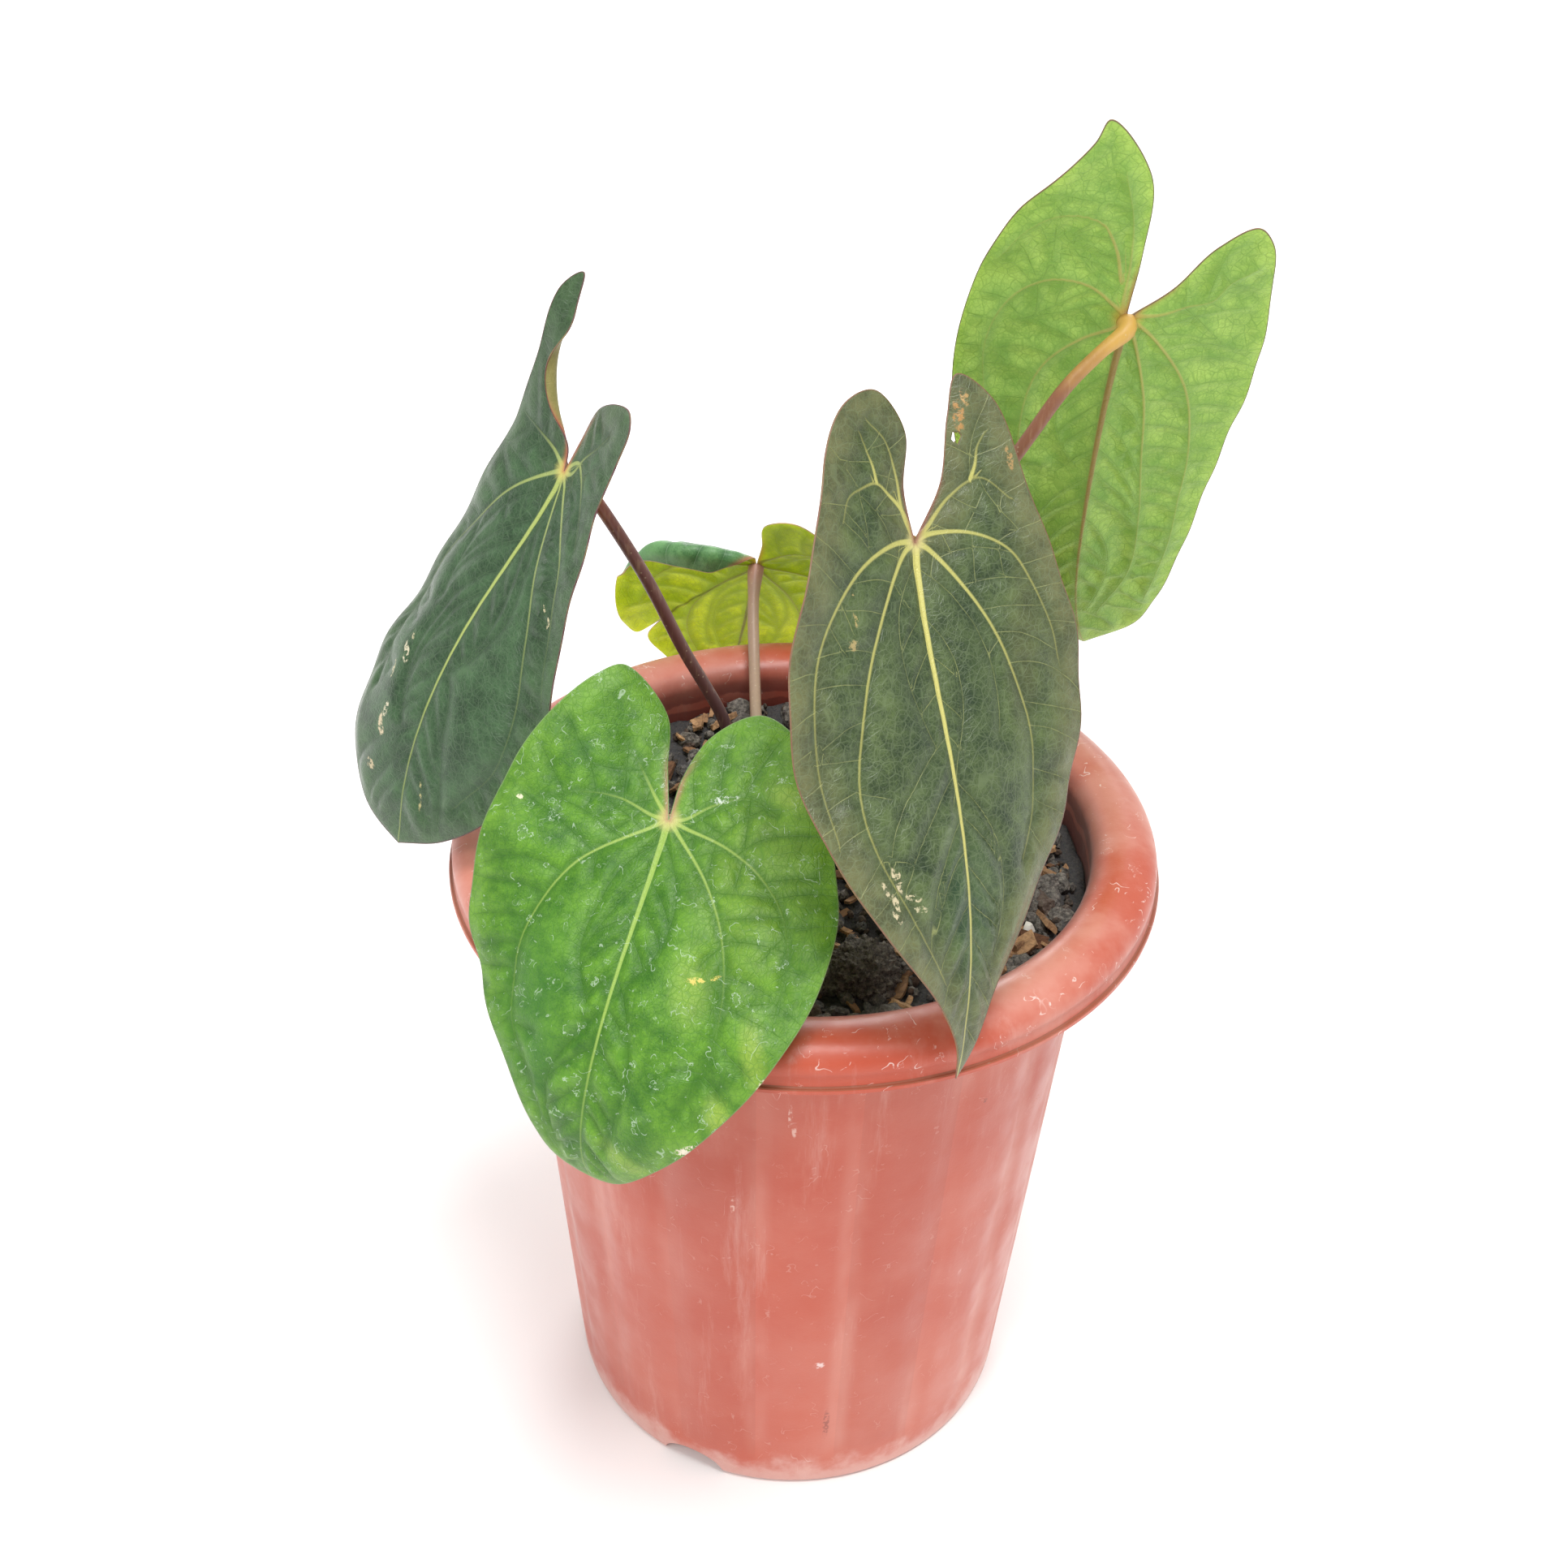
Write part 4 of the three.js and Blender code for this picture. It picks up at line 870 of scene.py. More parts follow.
# Colours of the leaf faces. fade is how much of a vein's colour is left at its end.
leafLooks = {
    "darkTop": {
        "deep": "22341B", "light": "5E7040", "lines": "80906A", "rib": "A2A768", "vein": "C2BE6C", "midrib": "CDC774",
        "hub": "CFC684", "edge": "8A5F4C", "sinus": "8A4A4C", "hubSize": 4.0, "rough": 0.36, "coat": 0.15,
        "lineShow": 0.3, "ribShow": 0.6, "fade": 0.35, "crease": 0.3, "bump": 0.35, "through": 0.0, "gloss": 0.4,
        "outer": "7A7450", "outerShow": 0.6,
    },
    "greenTop": {
        "deep": "2D6210", "light": "6CA02C", "lines": "3F7A1C", "rib": "3C6E1C", "vein": "A0BC58", "midrib": "9ABA56",
        "hub": "C9C27A", "edge": "7E9E60", "sinus": "B07A68", "hubSize": 4.5, "rough": 0.42, "coat": 0.05,
        "lineShow": 0.4, "ribShow": 0.4, "fade": 0.0, "crease": 0.5, "bump": 0.35, "through": 0.0, "gloss": 0.35,
        "outer": "7FA83C", "outerShow": 0.3,
    },
    "blueTop": {
        "deep": "203A20", "light": "456641", "lines": "64805A", "rib": "5E7C52", "vein": "A2B066", "midrib": "ACBA66",
        "hub": "D0C46E", "edge": "6B4048", "sinus": "B5654A", "hubSize": 4.5, "rough": 0.33, "coat": 0.2,
        "lineShow": 0.25, "ribShow": 0.4, "fade": 0.1, "crease": 0.35, "bump": 0.35, "through": 0.0, "gloss": 0.4,
        "outer": "54663C", "outerShow": 0.25,
    },
    "paleUnder": {
        "deep": "7AA44A", "light": "B0CE6A", "lines": "6C9440", "rib": "6E9440", "vein": "AFAE60", "midrib": "957C46",
        "hub": "CFB25A", "edge": "5B4048", "sinus": "9A6A4C", "hubSize": 5.5, "rough": 0.45, "coat": 0.05,
        "lineShow": 0.5, "ribShow": 0.6, "fade": 0.2, "crease": 0.5, "bump": 0.4, "through": 0.3, "gloss": 0.3,
        "outer": "A4C65E", "outerShow": 0.3,
    },
    # yellow-green under face; its colours are raised past the leaf's own as painted light shining through from behind
    "brightUnder": {
        "deep": "92AE0C", "light": "D2E428", "lines": "93A82C", "rib": "9DB02E", "vein": "97A13A", "midrib": "7C8434",
        "hub": "B49A4C", "edge": "B9A76A", "sinus": "A9764C", "hubSize": 3.0, "rough": 0.5, "coat": 0.0,
        "lineShow": 0.4, "ribShow": 0.45, "fade": 0.5, "crease": 0.7, "bump": 0.35, "through": 0.5, "gloss": 0.25,
        "outer": "A9BE1E", "outerShow": 0.3,
    },
    "crestTop": {
        "deep": "265A2C", "light": "7EB070", "lines": "5E9460", "rib": "A4C59A", "vein": "A9BC78", "midrib": "A9BC78",
        "hub": "B9BC74", "edge": "C9A67C", "sinus": "B5654A", "hubSize": 4.0, "rough": 0.4, "coat": 0.15,
        "lineShow": 0.25, "ribShow": 0.5, "fade": 0.5, "crease": 0.7, "bump": 0.3, "through": 0.0, "gloss": 0.4,
        "outer": "4F8A4C", "outerShow": 0.3,
    },
    "oliveUnder": {
        "deep": "7C7C42", "light": "A29C5C", "lines": "8A8048", "rib": "9A7C50", "vein": "B98A5E", "midrib": "A97C56",
        "hub": "C4583E", "edge": "6E2E34", "sinus": "C05A4C", "hubSize": 17.0, "rough": 0.45, "coat": 0.05,
        "lineShow": 0.3, "ribShow": 0.5, "fade": 0.8, "crease": 0.2, "bump": 0.3, "through": 0.0, "gloss": 0.3,
        "outer": "94805A", "outerShow": 0.3,
    },
}

# Scars and patches: place on the flat blade, turn, length and width, colour
leafMarks = {
    "front_right": {
        "scars": (
            ((13, -33), 83, 4.2, 1.5, "B98A50"), ((14.5, -38), 75, 2.4, 1.1, "C09A62"),
            ((27.3, -23), 75, 3.2, 1.0, "B5925E"), ((-25.5, 20.5), 80, 1.8, 0.6, "B5A068"),
            ((-26.6, 26.5), 20, 1.8, 1.3, "B5A068"), ((-25.4, 15), 60, 1.0, 0.6, "B5A068"),
            ((-27.4, 85), 60, 2.4, 0.8, "D6C8A2"), ((-23.4, 83), 75, 3.4, 0.9, "D6C8A2"),
            ((-25, 88.4), 85, 2.2, 0.8, "D6C8A2"), ((-19.8, 88), 30, 2.2, 0.8, "D6C8A2"),
            ((-18.1, 91.2), 10, 2.2, 0.7, "C9C09A"), ((-25.8, 92), 60, 2.0, 0.8, "D6C8A2")),
        "patches": (
            ((-11, 42), 84, 40, 8, "20361C"), ((12, 38), 96, 40, 9, "20361C"), ((0, 92), 90, 24, 12, "2C5234"),
            ((0, 8), 0, 16, 8, "4A5A34"), ((28, 30), 95, 30, 7, "66683F")),
    },
    "front_left": {
        "scars": (
            ((21.2, 39.5), -16, 2.8, 0.9, "E2CE6A"), ((25.5, 37.5), -30, 1.8, 0.5, "E2CE6A"),
            ((-41, 2.5), 0, 0.9, 0.8, "EFE9C8"), ((31.8, 80.5), -35, 4.5, 1.5, "EFE2CF"),
            ((45.5, 58.5), -50, 2.2, 0.9, "E6DDB4"), ((13, -8.4), -20, 3.6, 0.9, "DCE8DA")),
        "patches": (
            ((28, 12), 80, 40, 20, "8CB038"), ((41, 52), 65, 11, 4, "A8BC4C"), ((37, 70), 55, 7, 4, "B4C455"),
            ((14, 92), 20, 12, 4, "A5C04E"), ((30, -12), 20, 7, 4, "A9C455"), ((20, 42), 70, 12, 6, "9CBC42"),
            ((-22, 62), 85, 38, 16, "3B7430")),
    },
    "left": {
        "scars": (
            ((-21, 75), 70, 2.8, 0.8, "C9BF98"), ((-18.6, 69), 50, 3.2, 1.1, "D8CFB0"),
            ((-19.5, 64), 50, 1.5, 0.6, "C9BF98"), ((-15.8, 85.5), 80, 2.6, 0.9, "D8CFB0"),
            ((-16.5, 90.5), 75, 3.4, 1.2, "DEC9A6"), ((-16, 102), 20, 2.0, 1.4, "CDBB94"),
            ((7.7, 103), 80, 4.4, 0.6, "B8AE78"), ((28.8, 35.2), 70, 1.5, 0.6, "C9BF98"),
            ((25.4, 32.6), 40, 1.2, 0.5, "C9BF98")),
    },
}
# Upper face, under face and how much dried lime each leaf has
leafFaces = {
    "front_right": ("darkTop", "oliveUnder", 0.0),
    "front_left": ("greenTop", "paleUnder", 0.68),
    "left": ("blueTop", "oliveUnder", 0.0),
    "back_right": ("darkTop", "paleUnder", 0.0),
    "back": ("crestTop", "brightUnder", 0.0),
}


def makeLeafMaterial(name, look, lime=0.0, marks={}):
    material, tree, shader = newMaterial(name)
    chart = addNode(tree, "UVMap")[0]
    veins = useGroup(tree, "leafVeins")
    tissue = useGroup(tree, "leafTissue", {"Vector": chart})
    mottle, grain = tissue["Mottle"], tissue["Grain"]
    tone = mottle * 0.7 + grain * 0.3
    colour = tone.ease(0.36, 0.64).pick(linear(look["deep"]), linear(look["light"]))
    outer = readMask(tree, "edgeDist").fade(1.0, 16.0) * mottle.ease(0.35, 0.6, 0.5, 1)
    colour = colour.paint(outer * look["outerShow"], look["outer"])
    for mark in marks.get("patches", ()):
        colour = colour.paint(markAt(chart, *mark[:4])["Haze"] * 0.42, mark[4])
    left = readMask(tree, "veinAlong").ease(0.1, 0.85, 0.95, look["fade"])
    middle = veins["Vein"] * readMask(tree, "onMidrib") * 0.9
    away = chart.vector("LENGTH", output="Value")
    ribs = veins["Net"] * chart.noise(16.0, 2.0).ease(0.38, 0.6, 0.45, 1)
    for mask, key in (
        (veins["Near Vein"] * 0.12, "light"),
        (tissue["Lines"] * look["lineShow"], "lines"),
        (grain.ease(0.5, 0.75, 0, 0.3), "deep"),
        # painted shade in the grooves along the veins and ribs
        (veins["Crease Shade"] * look["crease"], "deep"),
        (ribs * look["ribShow"], "rib"),
        (veins["Vein"] * left, "vein"),
        (middle * left.ease(0.0, 0.6, 0.5, 1), "midrib"),
        (away.ease(0.01, look["hubSize"] / 100, 0.9, 0), "hub"),
        (readMask(tree, "sinusRib") * 0.85, "sinus"),
        (veins["Margin"], "edge"),
    ):
        colour = colour.paint(mask, look[key])
    rough = grain.ease(0.3, 0.7, look["rough"] - 0.06, look["rough"] + 0.08)
    if lime:
        big, small = (useGroup(tree, "limescale", {"Vector": chart, "Drops": drops, "Amount": lime})["Mask"]
                      for drops in (13.0, 27.0))
        curls = useGroup(tree, "curls", {"Vector": chart, "Scale": 13.0})["Mask"]
        stain = big.most(small * 0.8).most(curls * 0.75)
        colour = colour.paint(stain * 0.58, "CFE2CC")
        rough = rough.most(stain * 0.8)
    for mark in marks.get("scars", ()):
        colour = colour.paint(markAt(chart, *mark[:4])["Mask"] * 0.9, mark[4])
    height = grain * 0.3 - tissue["Lines"] * 0.5 - veins["Net"] * 0.8 + veins["Vein"] * 0.8
    fill(shader, {
        "Base Color": colour, "Roughness": rough, "Normal": height.bump(look["bump"], 0.0005),
        "Coat Weight": look["coat"], "Coat Roughness": 0.3, "Specular IOR Level": look["gloss"],
    })
    if look["through"]:
        fill(shader, {"Subsurface Weight": look["through"], "Subsurface Radius": (0.9, 1.0, 0.35),
                      "Subsurface Scale": 0.0025})
    return material


def markAt(chart, place, turn, long, wide):
    centre = (place[0] / 100, place[1] / 100, 0)
    inputs = {"Vector": chart, "Centre": centre, "Turn": math.radians(-turn), "Long": long, "Wide": wide}
    return useGroup(chart.tree, "leafScar", inputs)


def makeEdgeMaterial(name, code):
    material, tree, shader = newMaterial(name)
    patch = addNode(tree, "UVMap")[0].noise(22.0, 3.0).ease(0.35, 0.65)
    fill(shader, {"Base Color": patch.pick(linear(code), linear("8C7A4E")), "Roughness": 0.55})
    return material


def labelOf(name):
    return "".join(word.title() for word in name.split("_"))


def makeLeaves():
    for name, leaf in leaves.items():
        top, under, lime = leafFaces[name]
        label = labelOf(name)
        materials = (
            makeLeafMaterial("leafTop" + label, leafLooks[top], lime, leafMarks.get(name, {})),
            makeLeafMaterial("leafUnder" + label, leafLooks[under]),
            makeEdgeMaterial("leafEdge" + label, leafLooks[top]["edge"]),
        )
        makeBlade(name, leaf, materials)
        print("leaf", name)


# Leaf stalks
stalkForm = {
    "radius": 1.9, "baseRadius": 2.6, "baseLength": 14, "kneeRadius": 2.7, "kneeLength": 13, "kneeRise": 3.5,
}
crownForm = {
    "x": -14, "y": 33, "top": 209, "collar": 11, "waist": 7.5, "bottom": 150, "ring": 8,
    "roots": 5, "rootTurn": 25, "rootRadius": 2.3, "rootStart": 188, "rootReach": 28, "rootDrop": 62,
}
# Colours at the foot, along the middle and under the blade
stalkColours = {
    "front_right": ("7C5A3C", "8A6A48", "B08A58"),
    "front_left": ("7A5A40", "8C7048", "C0806A"),
    "left": ("4E3638", "6E4440", "B9663C"),
    "back_right": ("6E4438", "8E5C42", "D2A654"),
    "back": ("9A8870", "A98D78", "B9887A"),
}


def curveTube(name, route, radii):
    # a round tube along a route, as a bevelled curve made into a mesh
    deselect()
    bpy.ops.curve.primitive_nurbs_path_add()
    tube = bpy.context.object
    tube.data.splines.clear()
    spline = tube.data.splines.new("POLY")
    spline.points.add(len(route) - 1)
    for point, place, radius in zip(spline.points, route, radii):
        point.co = (*(np.asarray(place) * mm), 1)
        point.radius = radius
    tube.data.dimensions = "3D"
    tube.data.bevel_depth = mm
    tube.data.bevel_resolution = 6
    tube.data.use_fill_caps = True
    bpy.ops.object.convert(target="MESH")
    tube = placed(bpy.context.object, name)
    editAll(tube)
    bpy.ops.mesh.remove_doubles(threshold=0.000001)
    bpy.ops.mesh.normals_make_consistent(inside=False)
    backToObject()
    return tube


def evenRoute(points, count):
    # even steps along a curve, with how far each lies and the whole length
    fine = catmull(points, np.linspace(0, 1, 600))
    far = np.concatenate([[0], np.cumsum(np.linalg.norm(np.diff(fine, axis=0), axis=1))])
    wanted = np.linspace(0, far[-1], count)
    return np.c_[tuple(np.interp(wanted, far, fine[:, k]) for k in range(3))], wanted, far[-1]


def makeStalk(name, leaf):
    form = stalkForm
    hub = np.array(leaf["hub"], float)
    here = int(np.flatnonzero(leaf["midrib"]["y"] == 0)[0])
    along, up = leaf["midrib"]["along"][here], leaf["midrib"]["up"][here]
    under = hub + 0.6 * along - (bladeForm["thickness"] / 2 + bladeForm["midribRidge"] - 0.5) * up
    knee = under - form["kneeRise"] * up
    x, y, ring = crownForm["x"], crownForm["y"], crownForm["ring"]
    towards = math.atan2(hub[1] - y, hub[0] - x)
    foot = np.array((x + ring * math.cos(towards), y + ring * math.sin(towards), crownForm["top"] - 1))
    route, wanted, length = evenRoute([foot, foot + (0, 0, 7), *leaf["via"], knee, under], 150)
    base = 1 - smoothStep(wanted, 0, form["baseLength"])
    bent = 1 - smoothStep(length - wanted, 0, form["kneeLength"])
    radii = (form["radius"] + (form["baseRadius"] - form["radius"]) * base
             + (form["kneeRadius"] - form["radius"]) * bent)
    stalk = curveTube("stalk_" + name, route, radii)
    spots = readVerts(stalk) / mm
    nearest = np.array([((route - spot) ** 2).sum(1).argmin() for spot in spots])
    setMask(stalk, "along", wanted[nearest] / length)
    smooth(stalk, makeStalkMaterial("stalk" + labelOf(name), *stalkColours[name]))
    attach(stalk, "root")
    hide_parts("stalk_" + name)


def makeStalkMaterial(name, low, middle, high):
    material, tree, shader = newMaterial(name)
    spot = addNode(tree, "TexCoord")["Object"]
    wander = readMask(tree, "along") + (spot.noise(60.0, 3.0) - 0.5) * 0.25
    streak = spot.stretched((1, 1, 0.12)).noise(900.0, 3.0).ease(0.5, 0.75)
    dots = spot.cells(420.0)["Distance"].fade(0.08, 0.16)
    colour = wander.ease(0.1, 0.6).pick(linear(low), linear(middle)).paint(wander.ease(0.82, 1.0), high)
    colour = colour.paint(streak * 0.16, "D8B98C").paint(dots * 0.3, "D8C7A4")
    height = spot.stretched((1, 1, 0.2)).noise(700.0, 3.0)
    fill(shader, {"Base Color": colour, "Roughness": 0.42, "Normal": height.bump(0.35, 0.0004)})
    return material


# Crown: a short stem with a collar and thick roots
def makeCrown():
    form = crownForm
    x, y, bottom, top, waist, collar = (form[key] for key in ("x", "y", "bottom", "top", "waist", "collar"))
    rings = [(5, bottom + 14), (waist, bottom + 40), (waist + 1.5, top - 9), (collar - 1, top - 5),
             (collar, top - 2.5), (collar - 0.6, top - 0.6), (collar - 2.5, top), (5, top + 0.4), (2, top + 0.6)]
    pieces = [turned("crown_stem", 48, (3, bottom), rings, (x, y))]
    for i in range(form["roots"]):
        turn = math.radians(form["rootTurn"] + i * 360 / form["roots"])
        start, reach, drop = form["rootStart"] - i * 5, form["rootReach"], form["rootDrop"]
        outs = [(2, start), (waist + 3, start - 3), (reach * 0.7, start - drop * 0.35), (reach, start - drop)]
        places = [(x + out * math.cos(turn), y + out * math.sin(turn), z) for out, z in outs]
        route, wanted, length = evenRoute(places, 24)
        pieces.append(curveTube("root", route, form["rootRadius"] * (1 - 0.45 * wanted / length)))
    crown = joined(pieces)
    spots = readVerts(crown)
    rough = np.array([noise.noise(Vector(spot) * 300) for spot in spots])
    out = spots - np.array((x, y, 0)) * mm
    out[:, 2] = 0
    out /= np.maximum(np.linalg.norm(out, axis=1, keepdims=True), 1e-6)
    writeVerts(crown, spots + out * (rough * 0.5 * mm)[:, None])
    material, tree, shader = newMaterial("crownBark")
    spot = addNode(tree, "TexCoord")["Object"]
    bark = spot.noise(220.0, 5.0).ease(0.35, 0.65).pick(linear("4E3A28"), linear("8C7350"))
    fill(shader, {"Base Color": bark, "Roughness": 0.8, "Normal": spot.noise(500.0, 5.0).bump(0.6, 0.0006)})
    smooth(crown, material)
    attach(crown, "root")
    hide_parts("crown")
    print("crown")


# Pot
potForm = {
    "footRadius": 74, "footBevel": 2.5, "neckRadius": 88.4, "neckHeight": 207, "wall": 2.4,
    "rollCentre": 95.3, "rollHeight": 215.2, "rollHalfWidth": 9.7, "rollHalfHeight": 6.8, "skin": 2.2,
    "lipRadius": 106.2, "lipTop": 210.4, "lipBottom": 208.6, "flutes": 18, "fluteTurn": -98, "fluteDepth": 0.9,
    "floor": 3, "padRadius": 44, "channelRadius": 65, "channelHeight": 8, "slope": 2,
    "notches": 3, "notchTurn": -115, "notchWidth": 22, "holes": 6, "holeRadius": 4.5, "holeCircle": 55,
    "sides": 288,
}


def potWall(z):
    form = potForm
    rise = (z - form["footBevel"]) / (form["neckHeight"] - form["footBevel"])
    return form["footRadius"] + (form["neckRadius"] - form["footRadius"]) * rise


def rollPoints(first, last, count, inset):
    form = potForm
    wide, high = form["rollHalfWidth"] - inset, form["rollHalfHeight"] - inset
    turns = [math.radians(first + (last - first) * i / count) for i in range(count + 1)]
    return [(form["rollCentre"] + wide * math.cos(t), form["rollHeight"] + high * math.sin(t)) for t in turns]


def potRings():
    # up the outside from the pad under the pot, over the rim and down the inside
    form = potForm
    foot, bevel, wall, skin, slope = (form[key] for key in ("footRadius", "footBevel", "wall", "skin", "slope"))
    floor, pad, channel, high = (form[key] for key in ("floor", "padRadius", "channelRadius", "channelHeight"))
    lip, lipTop, lipBottom = (form[key] for key in ("lipRadius", "lipTop", "lipBottom"))
    roof = high + floor
    turns = [math.radians(a) for a in (0, 22, 45, 67, 90)]
    innerTop = form["rollCentre"] - form["rollHalfWidth"]
    return [
        (pad - 1, 0), (pad, 0.5), (pad + slope, high - 0.8), (pad + slope + 1, high),
        (channel - 1, high), (channel, high - 0.8), (channel + slope, 0.4), (channel + slope + 1, 0),
        *[(foot - bevel * (1 - math.sin(t)), bevel * (1 - math.cos(t))) for t in turns],
        *[(potWall(z), z) for z in (6, 10, 13, 17, 25, 45, 70, 95, 120, 145, 170, 185, 196, 201, 204)],
        (form["neckRadius"], form["neckHeight"]), *rollPoints(172, 12, 10, skin),
        (lip - skin, lipBottom + 0.3), (lip - skin + 0.4, lipBottom), (lip - 0.4, lipBottom), (lip, lipBottom + 0.4),
        (lip, lipTop - 0.4), (lip - 0.3, lipTop), (lip - 0.8, lipTop), (lip - 1.1, lipTop + 0.3),
        *rollPoints(-17, 180, 26, 0), (innerTop + 0.1, 210), (innerTop + 0.3, 205),
        (potWall(190) - wall, 190), (potWall(100) - wall, 100), (potWall(roof + 4) - wall, roof + 4),
        (potWall(roof) - wall - 1.5, roof), (pad + slope - floor, roof), (pad - floor, floor), (20, floor),
    ]


def cutWith(piece, cutter):
    choose(piece)
    cut = piece.modifiers.new("cut", "BOOLEAN")
    cut.operation = "DIFFERENCE"
    cut.solver = "EXACT"
    cut.object = cutter
    bpy.ops.object.modifier_apply(modifier="cut")
    bpy.data.objects.remove(cutter)


def makePot():
    form = potForm
    pot = turned("pot_body", form["sides"], (20, 0), potRings())

    # soft upright flutes on the outer wall
    spots = readVerts(pot) / mm
    out = np.hypot(spots[:, 0], spots[:, 1])
    high = spots[:, 2]
    onWall = (high > 9) & (high < 203) & (out > potWall(high) - 0.1)
    pitch = 360 / form["flutes"]
    turn = np.degrees(np.arctan2(spots[:, 1], spots[:, 0])) - form["fluteTurn"]
    across = np.abs((turn + pitch / 2) % pitch - pitch / 2)
    depth = form["fluteDepth"] * (1 - smoothStep(across, 0, 6.5))
    depth = np.where(onWall, depth * smoothStep(high, 9, 18) * (1 - smoothStep(high, 194, 203)), 0)
    spots[:, :2] *= ((out - depth) / np.maximum(out, 1e-6))[:, None]
    writeVerts(pot, spots * mm)

    # drain notches at the foot and holes in the channel
    for i in range(form["notches"]):
        angle = math.radians(form["notchTurn"] + i * 360 / form["notches"])
        middle = (form["footRadius"] + form["channelRadius"]) / 2 + 2
        place = (middle * mm * math.cos(angle), middle * mm * math.sin(angle), 0)
        deselect()
        bpy.ops.mesh.primitive_cylinder_add(vertices=48, radius=form["notchWidth"] / 2 * mm, depth=22 * mm,
                                            location=place, rotation=(math.pi / 2, 0, angle + math.pi / 2))
        cutter = placed(bpy.context.object, "notchCutter")
        cutter.data.transform(Matrix.Diagonal((1, 1, form["channelHeight"] / (form["notchWidth"] / 2), 1)))
        cutWith(pot, cutter)
    for i in range(form["holes"]):
        angle = (i + 0.5) / form["holes"] * 2 * math.pi
        circle = form["holeCircle"] * mm
        place = (circle * math.cos(angle), circle * math.sin(angle), 10 * mm)
        deselect()
        bpy.ops.mesh.primitive_cylinder_add(vertices=32, radius=form["holeRadius"] * mm, depth=10 * mm,
                                            location=place)
        cutWith(pot, placed(bpy.context.object, "drill"))
    pot.data.materials.append(makePotMaterial())
    choose(pot)
    bpy.ops.object.shade_smooth_by_angle(angle=math.radians(32))
    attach(pot, "root")
    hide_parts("pot")
    print("pot")


potLook = {
    "base": "BC4D33", "pale": "C65F45", "deep": "A03F2A", "inner": "5E221C", "dust": "DDA191", "lime": "F3E2DA",
    "dirt": "7A5036", "rough": 0.36, "haze": 0.14,
    # centre, half width and half height in millimetres, colour
    "marks": (
        ((9, -77.9, 65.7), 2.0, 1.6, "F3E0DC"), ((53.2, -67.4, 171.2), 0.8, 0.8, "4E261C"),
        ((12.5, -75, 30.5), 1.3, 10, "8A3A28"), ((-2.4, -86.5, 182), 0.7, 5, "E6BCAE"),
        ((-1.2, -86.2, 176), 0.8, 3, "E6BCAE"), ((-18.3, -81.6, 140), 0.7, 3.5, "E6BCAE"),
        ((60, -58, 152), 0.6, 0.6, "F3E0DC"), ((-41.8, -76.3, 187.6), 0.9, 4, "DDAC9C"),
    ),
}


